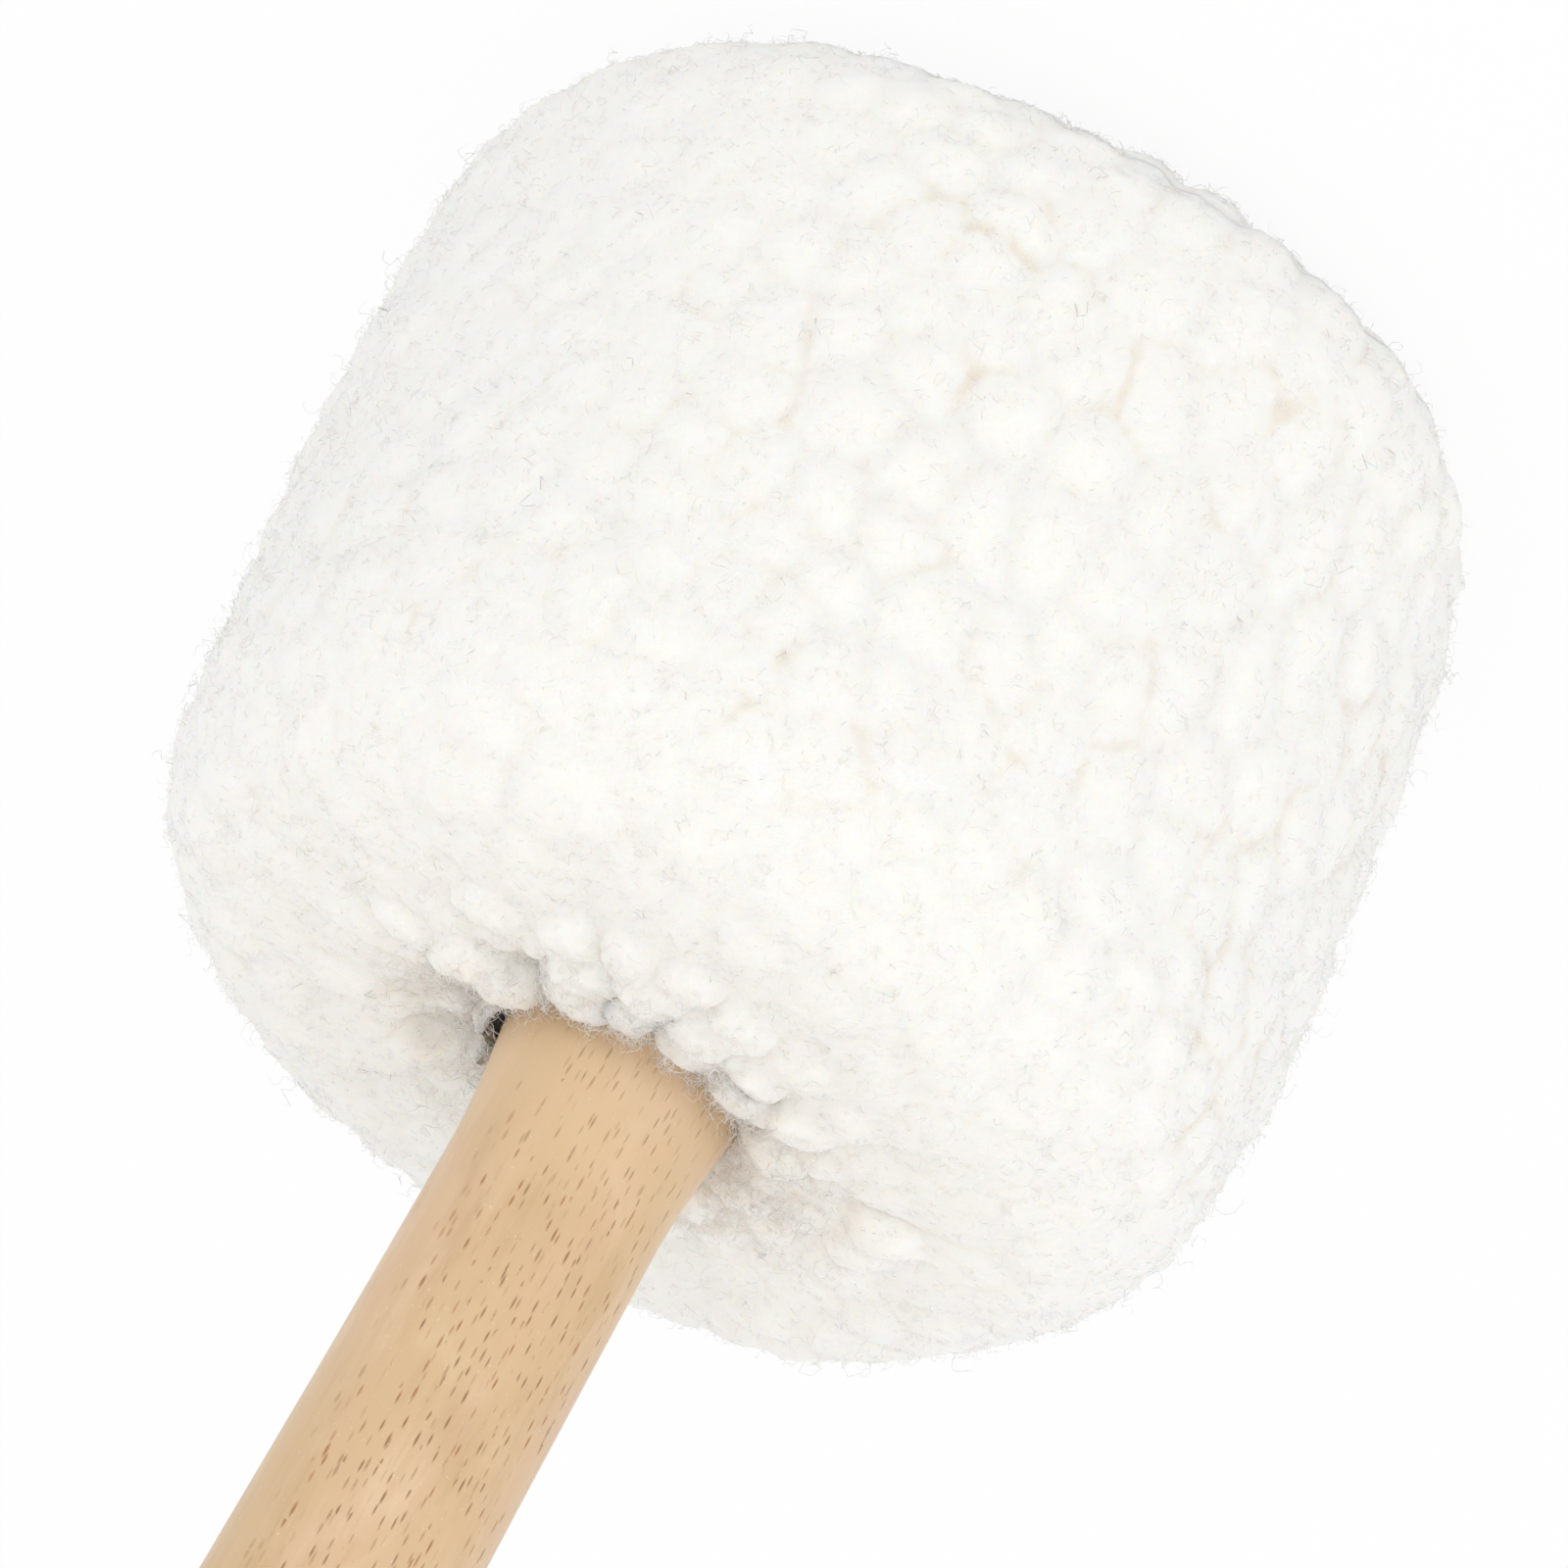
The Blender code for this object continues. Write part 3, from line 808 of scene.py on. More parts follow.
def coordinates(mesh):
    found = np.empty(len(mesh.vertices) * 3, np.float32)
    mesh.vertices.foreach_get("co", found)
    return found.reshape(-1, 3).astype(float)


def set_coordinates(mesh, points):
    mesh.vertices.foreach_set("co", points.astype(np.float32).ravel())
    mesh.update()


def normals_of(mesh):
    found = np.empty(len(mesh.vertices) * 3, np.float32)
    mesh.vertex_normals.foreach_get("vector", found)
    return found.reshape(-1, 3).astype(float)


def set_attribute(mesh, name, values):
    layer = mesh.attributes.get(name) or mesh.attributes.new(name, "FLOAT", "POINT")
    layer.data.foreach_set("value", np.asarray(values, np.float32))


def get_attribute(mesh, name):
    found = np.empty(len(mesh.vertices), np.float32)
    mesh.attributes[name].data.foreach_get("value", found)
    return found


def arc(centre_r, centre_z, radius, start, end, steps=24):
    """Points of (radius, height) on an arc, its angles from straight out towards up."""
    angles = np.radians(np.linspace(start, end, steps))
    return np.c_[centre_r + radius * np.cos(angles), centre_z + radius * np.sin(angles)]


def spaced(line, count):
    """count points at even distances along a line, its ends included."""
    steps = np.r_[0, np.cumsum(np.hypot(*np.diff(line, axis=0).T))]
    wanted = np.linspace(0, steps[-1], count)
    return np.c_[np.interp(wanted, steps, line[:, 0]), np.interp(wanted, steps, line[:, 1])]


CROWN_ARC_R = HEAD_RADIUS - CROWN_ROUND
CROWN_EDGE_Z = CROWN_DOME - CROWN_CUT
CROWN_ARC_Z = CROWN_EDGE_Z + CROWN_ROUND
BASE_ARC_R = HEAD_RADIUS - BASE_DRAW_IN - BASE_ROUND
BASE_ARC_Z = HEAD_HEIGHT - BASE_ROUND
SEAM_DEGREES = math.degrees(SEAM_ANGLE) - 90
HALF_SEAM = math.degrees(SEAM_GAP / 2 / (CROWN_ROUND - WALL))


def crown_section():
    """The crown panel's outside from its middle to the seam, then its inside back."""
    radii = np.linspace(0, CROWN_ARC_R, 30)
    rise = np.maximum(CROWN_DOME * (radii / CROWN_ARC_R) ** 2 - CROWN_CUT, 0)
    end = SEAM_DEGREES - HALF_SEAM
    outside = np.r_[
        np.c_[radii, rise],
        arc(CROWN_ARC_R, CROWN_ARC_Z, CROWN_ROUND, -90, end)[1:],
    ]
    inside = np.r_[
        arc(CROWN_ARC_R, CROWN_ARC_Z, CROWN_ROUND - WALL, end, -90, 6),
        [(0, CROWN_EDGE_Z + WALL)],
    ]
    return spaced(outside, 19), spaced(inside, 7)


def band_section():
    """The band's outside from the seam to the lip, then its inside back."""
    start = SEAM_DEGREES + HALF_SEAM
    share = np.linspace(0, 1, 20)[1:-1]
    side_r = HEAD_RADIUS - BASE_DRAW_IN * share + SIDE_SWELL * 4 * share * (1 - share)
    side = np.c_[side_r, CROWN_ARC_Z + (BASE_ARC_Z - CROWN_ARC_Z) * share]
    outside = np.r_[
        arc(CROWN_ARC_R, CROWN_ARC_Z, CROWN_ROUND, start, 0),
        side,
        arc(BASE_ARC_R, BASE_ARC_Z, BASE_ROUND, 0, 90),
        [(26.0 * MM, HEAD_HEIGHT - 0.4 * MM)],
    ]
    lip = np.array(LIP_LINE) * MM + (0, HEAD_HEIGHT)
    ceiling = HEAD_HEIGHT - WALL
    inner = BASE_ROUND - WALL
    # From the lip round the hem, out under the base, down the side and in to the seam
    inside = np.array(
        [
            (LIP_RADIUS, LIP_HEIGHT - 1.5 * MM),
            (OPENING_RADIUS + 0.6 * MM, HEM_HEIGHT + 1.5 * MM),
            (OPENING_RADIUS + 2.5 * MM, HEM_HEIGHT),
            (OPENING_RADIUS + HEM_WIDTH, HEM_HEIGHT),
            (OPENING_RADIUS + HEM_WIDTH + ceiling - HEM_HEIGHT, ceiling),
            (BASE_ARC_R, ceiling),
            (BASE_ARC_R + inner * 0.7, BASE_ARC_Z + inner * 0.7),
            (BASE_ARC_R + inner, BASE_ARC_Z),
            (HEAD_RADIUS - WALL, (BASE_ARC_Z + CROWN_ARC_Z) / 2),
            (HEAD_RADIUS - WALL, CROWN_ARC_Z),
            *arc(CROWN_ARC_R, CROWN_ARC_Z, CROWN_ROUND - WALL, start / 2, start, 2),
        ]
    )
    return np.r_[spaced(outside, 38), lip], inside


def fold_inset(points):
    """How far the broad gathers draw the base face in at each point."""
    angle = np.arctan2(points[:, 1], points[:, 0])
    radius = np.hypot(points[:, 0], points[:, 1])
    near = ramp(radius, LIP_RADIUS, LIP_RADIUS + 8 * MM)
    near *= 1 - ramp(radius, LIP_RADIUS + 8 * MM, BASE_ARC_R + 18 * MM)
    up = ramp(points[:, 2], BASE_ARC_Z, HEAD_HEIGHT - 4 * MM)
    return (1 - np.cos(FOLDS * angle)) / 2 * FOLD_DEPTH * near * up


def wobble(angle):
    """What makes the balls round the neck uneven in width."""
    return 0.07 * np.sin(3 * angle + 1) + 0.04 * np.sin(7 * angle)


def scallop_inset(points):
    """How far the creases between the balls round the neck are drawn in, and the open side."""
    angle = np.arctan2(points[:, 1], points[:, 0])
    radius = np.hypot(points[:, 0], points[:, 1])
    near = 1 - ramp(radius, LIP_RADIUS + 4 * MM, LIP_RADIUS + 12 * MM)
    near *= ramp(points[:, 2], LIP_HEIGHT - 1 * MM, LIP_HEIGHT + 1 * MM)
    crease = 1 - np.abs(np.cos(FOLDS * (angle + wobble(angle)) / 2)) ** 0.6
    crease *= 0.85 + 0.35 * np.sin(5 * angle + 2)
    aside = np.cos(angle - math.radians(OPEN_SIDE))
    shut = ramp(np.cos(angle - math.radians(SHUT_SIDE)), 0.6, 0.9)
    inset = crease * SCALLOP * (1 - 0.8 * shut) - shut * SHUT_REACH
    return (inset + ramp(aside, 0.82, 0.95) * OPEN_GAP) * near


def revolve(name, outside, inside, columns):
    """Turns a section into a closed coarse skin. Gives the piece and its points' numbers by row."""
    section = np.r_[outside, inside]
    poles = np.isclose(section[:, 0], 0)
    shown = np.r_[np.ones(len(outside)), np.zeros(len(inside))]
    shown[len(outside) - 1] = 0.8
    points, marks, rows = [], [], []
    for (radius, height), mark, pole in zip(section, shown, poles):
        around = 1 if pole else columns
        rows.append([len(points) + step % around for step in range(columns)])
        for step in range(around):
            angle = TURN * step / columns
            points.append((radius * math.cos(angle), radius * math.sin(angle), height))
            marks.append(mark)
    closed = rows if poles.any() else [*rows, rows[0]]
    faces = []
    for low, high in zip(closed, closed[1:]):
        for i in range(columns):
            ahead = (i + 1) % columns
            face = [low[i], low[ahead], high[ahead], high[i]]
            faces.append(list(dict.fromkeys(face)))
    mesh = bpy.data.meshes.new(name)
    mesh.from_pydata(points, [], faces)
    set_attribute(mesh, "outside", marks)
    piece = bpy.data.objects.new(name, mesh)
    bpy.context.scene.collection.objects.link(piece)
    face_outward(piece)
    return piece, np.array(rows)


def face_outward(piece, merge=0.0):
    """Turns all faces outward, after points nearer than merge are joined."""
    only(piece)
    bpy.ops.object.mode_set(mode="EDIT")
    bpy.ops.mesh.select_all(action="SELECT")
    if merge:
        bpy.ops.mesh.remove_doubles(threshold=merge)
    bpy.ops.mesh.normals_make_consistent(inside=False)
    bpy.ops.object.mode_set(mode="OBJECT")


def refined(rows, finer, around=False):
    """Puts finer - 1 rows between each two, on smooth curves through the rows given."""
    if around:
        padded = np.concatenate((rows[-1:], rows, rows[:2]))
    else:
        first, last = 2 * rows[:1] - rows[1:2], 2 * rows[-1:] - rows[-2:-1]
        padded = np.concatenate((first, rows, last))
    a, b, c, d = (padded[k : len(padded) - 3 + k, None] for k in range(4))
    t = (np.arange(finer) / finer).reshape(1, finer, *[1] * (rows.ndim - 1))
    curve = b + (c - a) * t / 2 + (2 * a - 5 * b + 4 * c - d) * t**2 / 2
    curve = curve + (3 * b - a - 3 * c + d) * t**3 / 2
    result = curve.reshape(-1, *rows.shape[1:])
    return result if around else np.concatenate((result, rows[-1:]))


def fine_skin(piece, rows, shown_rows, finer):
    """Gives a cover its fine mesh: fine rows outside, the coarse ones inside, and a bake map."""
    grid = coordinates(piece.data)[rows]
    grid = refined(grid.swapaxes(0, 1), ROUND_STEPS, around=True).swapaxes(0, 1)
    closed = rows[0, 0] != rows[0, 1]
    rings = np.concatenate((refined(grid[:shown_rows], finer), grid[shown_rows:]))
    fine_rows = (shown_rows - 1) * finer + 1
    marks = np.zeros(len(rings))
    marks[:fine_rows] = 1
    marks[fine_rows - 2 : fine_rows] = 0.8, 0.6
    if closed:
        marks[:2] = 0.6, 0.8

    count, columns = rings.shape[:2]
    here = np.arange(columns)
    ahead = (here + 1) % columns
    low = np.arange(count if closed else count - 1)[:, None]
    high = (low + 1) % count
    lower = np.stack([low * columns + here, low * columns + ahead], -1)
    upper = np.stack([high * columns + ahead, high * columns + here], -1)
    quads = np.concatenate((lower, upper), -1)
    across = np.stack([here, here + 1, here + 1, here], -1) / columns
    along = np.stack([low, low, low + 1, low + 1], -1) / count
    flat = np.stack(np.broadcast_arrays(across[None], along), -1)
    mesh = mesh_of(piece.name, rings.reshape(-1, 3), quads.reshape(-1, 4), flat.reshape(-1, 2))
    set_attribute(mesh, "outside", np.repeat(marks, columns))
    coarse, piece.data = piece.data, mesh
    bpy.data.meshes.remove(coarse)
    face_outward(piece, merge=0.001 * MM)


def mesh_of(name, points, faces, flat):
    """A mesh from arrays of points, equal faces, and a place on the bake's map for each corner."""
    mesh = bpy.data.meshes.new(name)
    mesh.vertices.add(len(points))
    mesh.loops.add(faces.size)
    mesh.polygons.add(len(faces))
    mesh.vertices.foreach_set("co", points.astype(np.float32).ravel())
    mesh.loops.foreach_set("vertex_index", faces.astype(np.int32).ravel())
    starts = np.arange(0, faces.size, faces.shape[1], dtype=np.int32)
    mesh.polygons.foreach_set("loop_start", starts)
    mesh.update(calc_edges=True)
    layer = mesh.uv_layers.new(name=BAKE_MAP)
    layer.data.foreach_set("uv", flat.astype(np.float32).ravel())
    mesh.shade_smooth()
    return mesh


def from_seam(points):
    """How far points lie from the seam between the crown panel and the band."""
    angle = math.radians(SEAM_DEGREES)
    radius = np.hypot(points[:, 0], points[:, 1]) - CROWN_ARC_R - CROWN_ROUND * math.cos(angle)
    return np.hypot(radius, points[:, 2] - CROWN_ARC_Z - CROWN_ROUND * math.sin(angle))


def stuff(piece, furthest):
    """Swells a cover as its stuffing would, with its seam, hem and inside held."""
    mesh = piece.data
    before = coordinates(mesh)
    radius = np.hypot(before[:, 0], before[:, 1])
    at_lip = (radius < LIP_RADIUS + 2 * MM) & (before[:, 2] > LIP_HEIGHT)
    held = np.flatnonzero((get_attribute(mesh, "outside") < 0.9) | at_lip)
    group = piece.vertex_groups.new(name="sewn")
    group.add(held.tolist(), 1.0, "REPLACE")
    only(piece)
    cloth = piece.modifiers.new("stuffing", "CLOTH")
    fabric = cloth.settings
    fabric.quality = 6
    fabric.mass = 0.3
    fabric.tension_stiffness = 12
    fabric.compression_stiffness = 12
    fabric.bending_stiffness = 0.3
    fabric.use_pressure = True
    fabric.uniform_pressure_force = 4
    fabric.vertex_group_mass = group.name
    fabric.effector_weights.gravity = 0
    cloth.point_cache.frame_start = 1
    cloth.point_cache.frame_end = STUFFING_FRAMES
    for frame_number in range(1, STUFFING_FRAMES + 1):
        bpy.context.scene.frame_set(frame_number)
    bpy.ops.object.modifier_apply(modifier=cloth.name)
    bpy.context.scene.frame_set(1)
    moved = coordinates(mesh) - before
    moved *= ramp(from_seam(before), 2 * MM, 18 * MM)[:, None]
    far = np.linalg.norm(moved, axis=1, keepdims=True)
    set_coordinates(mesh, before + moved * np.minimum(1, furthest / np.maximum(far, 1e-9)))
    piece.vertex_groups.clear()


def warp(points, calm, seed):
    """Points moved about a little, less where calm is 1, so that tufts come out uneven."""
    warped = stretched(points)
    for axis in range(3):
        uneven = 1.2 * MM * lumps(points, 6 * MM, 11.0 * axis + seed)
        uneven += 0.3 * MM * lumps(points, 1.6 * MM, 19.0 * axis + seed)
        warped[:, axis] += uneven * (1 - 0.7 * calm)
    return warped


def neck_rings():
    """The places of the balls about the neck, ring by ring from the lip outward."""
    count, out, sink = FIRST_RING
    angle = TURN * np.arange(count) / count
    # Each ball of the first ring lies between two creases, which a few steps of this find
    for _ in range(4):
        angle = TURN * np.arange(count) / count - wobble(angle)
    angles, reach, sinks = [angle], [np.full(count, out)], [np.full(count, sink)]
    for count, out, sink in OUTER_RINGS:
        around = TURN * (np.arange(count) + 0.5) / count
        angles.append(around + 0.8 / count * np.sin(5 * around + count))
        reach.append(out + 1.0 * MM * np.sin(9 * around))
        sinks.append(np.full(count, sink))
    angle = np.concatenate(angles)
    radius = LIP_RADIUS + np.concatenate(reach)
    height = HEAD_HEIGHT - np.concatenate(sinks)
    return np.c_[radius * np.cos(angle), radius * np.sin(angle), height]


def ball_gaps(angle):
    """1 where the first ring about the neck has no balls, 0 elsewhere."""
    gap = np.zeros(len(angle))
    for side, half in BALL_GAPS:
        ends = (math.cos(math.radians(half + 5)), math.cos(math.radians(half - 5)))
        gap = np.maximum(gap, ramp(np.cos(angle - math.radians(side)), *ends))
    return gap


def neck_balls():
    """The middles and radii of the balls of wool about the neck."""
    draw = np.random.default_rng(41)
    places = neck_rings()
    angle = np.arctan2(places[:, 1], places[:, 0])
    first = np.arange(len(places)) < FOLDS
    chance = draw.uniform(-0.2, 0.9, len(places))
    facing = np.cos(angle - math.radians(BALL_SIDE))
    kept = np.where(first, ball_gaps(angle) < 0.5, facing > chance)
    radii = BALL_RADIUS * draw.uniform(0.88, 1.12, len(places)) * np.where(first, 1.0, 1.15)
    outward = unit(places * (1, 1, 0))
    up = unit(np.array([0, 0, 1]) - outward * np.where(first, 0.5, 0.0)[:, None])
    middles = places - up * (radii * BALL_SINK)[:, None]
    return middles[kept], radii[kept]


def swollen(points):
    """Points pushed out onto the balls of wool about the neck, where they lie inside one."""
    result = points.copy()
    for middle, radius in zip(*neck_balls()):
        away = result - middle
        far = np.linalg.norm(away, axis=1)
        near = np.flatnonzero(far < 1.4 * radius)
        way = away[near] / far[near, None]
        uneven = 1 + 0.18 * lumps(way + middle / MM, 0.9, 3)
        reach = np.maximum(far[near], radius * uneven)
        result[near] = middle + way * reach[:, None]
    return result


def tuft_middles(points, spacing, first, seed):
    """Points scattered over a skin, none nearer to another than its local spacing."""
    draw = np.random.default_rng(seed)
    order = draw.permutation(len(points))[:TUFT_TRIES]
    kept = first
    for i in order:
        if ((kept - points[i]) ** 2).sum(1).min() > spacing[i] ** 2:
            kept = np.r_[kept, points[i : i + 1]]
    return kept


def stretched(points):
    """Points squeezed so that tufts come out long: along one side, and outward on the base."""
    angle = np.arctan2(points[:, 1], points[:, 0])
    long_side = ramp(np.cos(angle - math.radians(LONG_SIDE)), 0.2, 0.9)
    side = 1 - ramp(points[:, 2], BASE_ARC_Z - 25 * MM, HEAD_HEIGHT)
    middle = HEAD_HEIGHT / 2
    result = points.copy()
    result[:, 2] = middle + (points[:, 2] - middle) * (1 - 0.3 * long_side * side)
    radius = np.hypot(points[:, 0], points[:, 1])
    on_base = ramp(points[:, 2], BASE_ARC_Z, HEAD_HEIGHT - 4 * MM)
    drawn = LIP_RADIUS + (radius - LIP_RADIUS) * 0.85
    result[:, :2] *= (1 + (drawn / radius - 1) * on_base)[:, None]
    return result


def softened(mesh, values, times):
    """Values at a mesh's points after each is made the mean of itself and its neighbours."""
    ends = np.empty(len(mesh.edges) * 2, np.int32)
    mesh.edges.foreach_get("vertices", ends)
    ends = ends.reshape(-1, 2)
    count = len(mesh.vertices)
    share = 1 + np.bincount(ends.ravel(), minlength=count)
    for _ in range(times):
        total = values + np.bincount(ends[:, 0], values[ends[:, 1]], count)
        total += np.bincount(ends[:, 1], values[ends[:, 0]], count)
        values = total / share
    return values


def tuft_field(points, middles):
    """Each point's distances to the two nearest tuft middles, and the nearest one's number."""
    tree = kdtree.KDTree(len(middles))
    for i, middle in enumerate(middles):
        tree.insert(middle, i)
    tree.balance()
    away = np.empty((len(points), 2))
    owner = np.empty(len(points), int)
    for i, place in enumerate(points.tolist()):
        near = tree.find_n(place, 2)
        owner[i] = near[0][1]
        away[i] = [each[2] for each in near]
    return away[:, 0], away[:, 1], owner


def curl_field(points, size, seed):
    """Small domes of a size, each point's height on its own one."""
    away = np.array([noise.voronoi(p)[0][:2] for p in (points / size + seed).tolist()])
    return 1 - (away[:, 0] / away[:, 1]) ** 2


# Soft swellings and hollows of the head: the middle of each, and its height in millimetres
SWELLINGS = (
    ((63.5, 16.5, 20.7), -2.3),
    ((61.7, 11.2, 85.7), 1.7),
    ((54.8, -15.6, 102.5), -2.2),
    ((-23.7, -46.6, 106.9), -0.4),
    ((-61.4, 1.4, 94.5), -1.2),
    ((-63.7, 7.7, 70.2), -0.5),
    ((-66.0, 1.0, 32.4), 0.3),
    ((-61.0, 20.8, 15.7), 0.2),
    ((-36.9, 49.2, 10.0), 0.4),
    ((-12.7, 56.1, 6.0), -2.2),
    ((15.5, 55.1, 6.1), -0.4),
    ((40.2, 41.3, 5.8), 2.4),
)
SWELL_REACH = 20 * MM
LEAN = (-0.02, 0.01)


def settle(points):
    """Gives the even drum the lean and the soft swellings of a head that is filled by hand."""
    axis = np.zeros_like(points)
    axis[:, 2] = np.clip(points[:, 2], 30 * MM, 80 * MM)
    outward = unit(points - axis)
    rise = np.zeros(len(points))
    for place, amount in SWELLINGS:
        away = ((points - np.array(place) * MM) ** 2).sum(1)
        rise += amount * MM * np.exp(-away / (2 * SWELL_REACH**2))
    radius = np.hypot(points[:, 0], points[:, 1])
    moved = points + outward * (rise * ramp(radius, 20 * MM, 34 * MM))[:, None]
    fall = HEAD_HEIGHT - points[:, 2]
    moved[:, 0] += LEAN[0] * fall
    moved[:, 1] += LEAN[1] * fall
    return moved


class Skin:
    """The shown points of a cover and the ways in which they are raised."""

    def __init__(self, piece):
        self.mesh = piece.data
        self.start = coordinates(self.mesh)
        outside = get_attribute(self.mesh, "outside")
        self.shown = np.flatnonzero(outside > 0.5)
        self.points = self.start[self.shown]
        self.whole = (outside > 0.5).astype(float)
        inner = outside > 0.9
        normals = normals_of(self.mesh)
        around = np.stack([softened(self.mesh, way * inner, 3) for way in normals.T], 1)
        self.ways = unit(np.where(inner[:, None], normals, around)[self.shown])

    def over_all(self, values):
        """Values of the shown points as values of all points, 0 at the rest."""
        every = np.zeros(len(self.start))
        every[self.shown] = values
        return every

    def spread(self, values, times):
        """Softens values over the shown points."""
        every = self.over_all(values)
        total, share = (softened(self.mesh, each, times) for each in (every, self.whole))
        return total[self.shown] / share[self.shown]

    def raise_points(self, rise, rough):
        """Raises the points, the balls about the neck too. Gives how far those push them out.

        rise is the whole height, and rough the part of it that is curls, which lie on top.
        """
        raised = self.points + self.ways * (rise - rough)[:, None]
        push = swollen(raised) - raised
        push = np.stack([self.spread(way, 9) for way in push.T], 1)
        far = np.linalg.norm(push, axis=1)
        on_ball = ramp(far, 0.1 * MM, 1 * MM)[:, None]
        ways = unit(self.ways * (1 - on_ball) + unit(push) * on_ball)
        moved = self.start.copy()
        moved[self.shown] = raised + push + ways * (rough * (1 + 0.6 * on_ball[:, 0]))[:, None]
        moved[:, 2] = np.maximum(moved[:, 2], 0)
        set_coordinates(self.mesh, moved)
        return far

    def mark(self, name, values):
        set_attribute(self.mesh, name, self.over_all(values))


class Places:
    """Where points of the cover lie: distances, and shares from 0 to 1 of the head's regions."""

    def __init__(self, points):
        self.angle = np.arctan2(points[:, 1], points[:, 0])
        self.radius = np.hypot(points[:, 0], points[:, 1])
        self.to_lip = np.hypot(self.radius - LIP_RADIUS, points[:, 2] - LIP_HEIGHT)
        self.at_neck = 1 - ramp(self.to_lip, 8 * MM, 24 * MM)
        self.on_base = ramp(points[:, 2], BASE_ARC_Z, HEAD_HEIGHT - 4 * MM)
        calm = ramp(np.cos(self.angle - math.radians(CALM_SIDE)), 0.2, 0.9)
        self.calm = calm * (1 - self.on_base)


def relief(points, at, spread, settings, seed):
    """The cover's relief: the whole rise, the part that is curls, and the depth between tufts,
    which the wool paints as shade.
    """
    warped = warp(points, at.at_neck, seed)
    spacing = settings.tuft_spacing * (1 + 0.2 * lumps(points, 30 * MM, 50 + seed))
    rings = neck_rings()
    middles = tuft_middles(warped, spacing, warp(rings, np.ones(len(rings)), seed), seed)
    near, next_near, owner = tuft_field(warped, middles)
    draw = np.random.default_rng(seed + 1)
    tall = draw.uniform(-0.5, 0.5, len(middles))[owner]

    # Tufts stand out in patches, and less on the base and on the calm side
    patchy = ramp(lumps(points, 15 * MM, 80 + seed), -0.4, 0.5)
    strength = (0.36 + 0.62 * patchy) * (1 - 0.45 * at.calm) * (1 - 0.4 * at.on_base)
    strength = strength * (1 - at.at_neck) + 0.45 * at.at_neck
    dome = 1 - (near / next_near) ** 2
    tuft = settings.tuft_height * strength * dome + 0.6 * MM * tall * dome
    tuft = spread(tuft, 8) - 0.6 * settings.tuft_height * strength

    # Curls and fuzz lie on the tufts
    curls = curl_field(warped, CURL_SIZES[0], seed)
    small = curl_field(warped, CURL_SIZES[1], seed + 5)
    curl = spread(settings.curl_height * (curls + 0.6 * small), 1) * (1 - 0.35 * at.calm)
    rough = curl + FUZZ_HEIGHT * lumps(points, FUZZ_SIZE, 5 + seed)
    broad = 0.6 * MM * lumps(points, 20 * MM, 30 + seed)

    at_lip = (1 - ramp(at.radius, LIP_RADIUS - 1 * MM, LIP_RADIUS + 2.5 * MM)) * at.on_base
    rise = (tuft + broad) * (1 - at_lip) + rough - 0.3 * MM
    rise -= scallop_inset(points)
    trench = 1 - ramp(np.abs(at.radius - LIP_RADIUS - 2.5 * MM), 3 * MM, 6 * MM)
    rise -= BALL_TRENCH * trench * at.on_base * (1 - ball_gaps(at.angle))

    # Only some of the lines between tufts are open enough to get the full painted crevice shade
    crevice_shade = 1 - ramp(next_near - near, 0, CREVICE_WIDTH)
    some = ramp(lumps(points, 12 * MM, 60 + seed), -0.1, 0.4) * (1 - 0.6 * at.calm)
    some *= ramp(lumps(points, 3.5 * MM, 70 + seed), -0.35, 0.15)
    crevice_shade = spread(crevice_shade * (0.25 + 0.75 * some) * (1 - 0.6 * at.on_base), 3)
    # The painted shade is deeper in the crevices and on the low sides of the curls
    depth = np.clip(np.minimum(crevice_shade, 0.65) + 0.2 * (0.5 - curls), 0, 1)
    return rise, rough, depth


def raise_tufts(pieces, settings, seed):
    """Gives the covers one field of tufts, crevices and curls, and marks on them its depth and the
    nearness to the neck, which the wool paints as shade.
    """
    skins = [Skin(piece) for piece in pieces]
    parts = np.cumsum([len(skin.points) for skin in skins])[:-1]
    points = np.concatenate([skin.points for skin in skins])
    at = Places(points)

    def spread(values, times):
        each = zip(skins, np.split(values, parts))
        return np.concatenate([skin.spread(own, times) for skin, own in each])

    rise, rough, depth = relief(points, at, spread, settings, seed)
    # Nearness to the handle, which the wool's colour paints as warm shade
    near_neck = 0.75 * (1 - ramp(at.to_lip, 1 * MM, 6 * MM))
    near_neck += 0.25 * (1 - ramp(at.to_lip, 4 * MM, 20 * MM))
    # Painted shade in the creases between the balls about the neck, where the cover is not pushed
    # out onto a ball
    by_lip = 0.4 * (1 - ramp(at.to_lip, 6 * MM, 12 * MM)) * (1 - ball_gaps(at.angle))
    fields = (np.split(field, parts) for field in (rise, rough, depth, near_neck, by_lip))
    for skin, rise, rough, depth, near_neck, by_lip in zip(skins, *fields):
        far = skin.raise_points(rise, rough)
        skin.mark("pile_depth", depth + by_lip * (1 - ramp(far, 0.2 * MM, 1.4 * MM)))
        skin.mark("near_neck", near_neck)


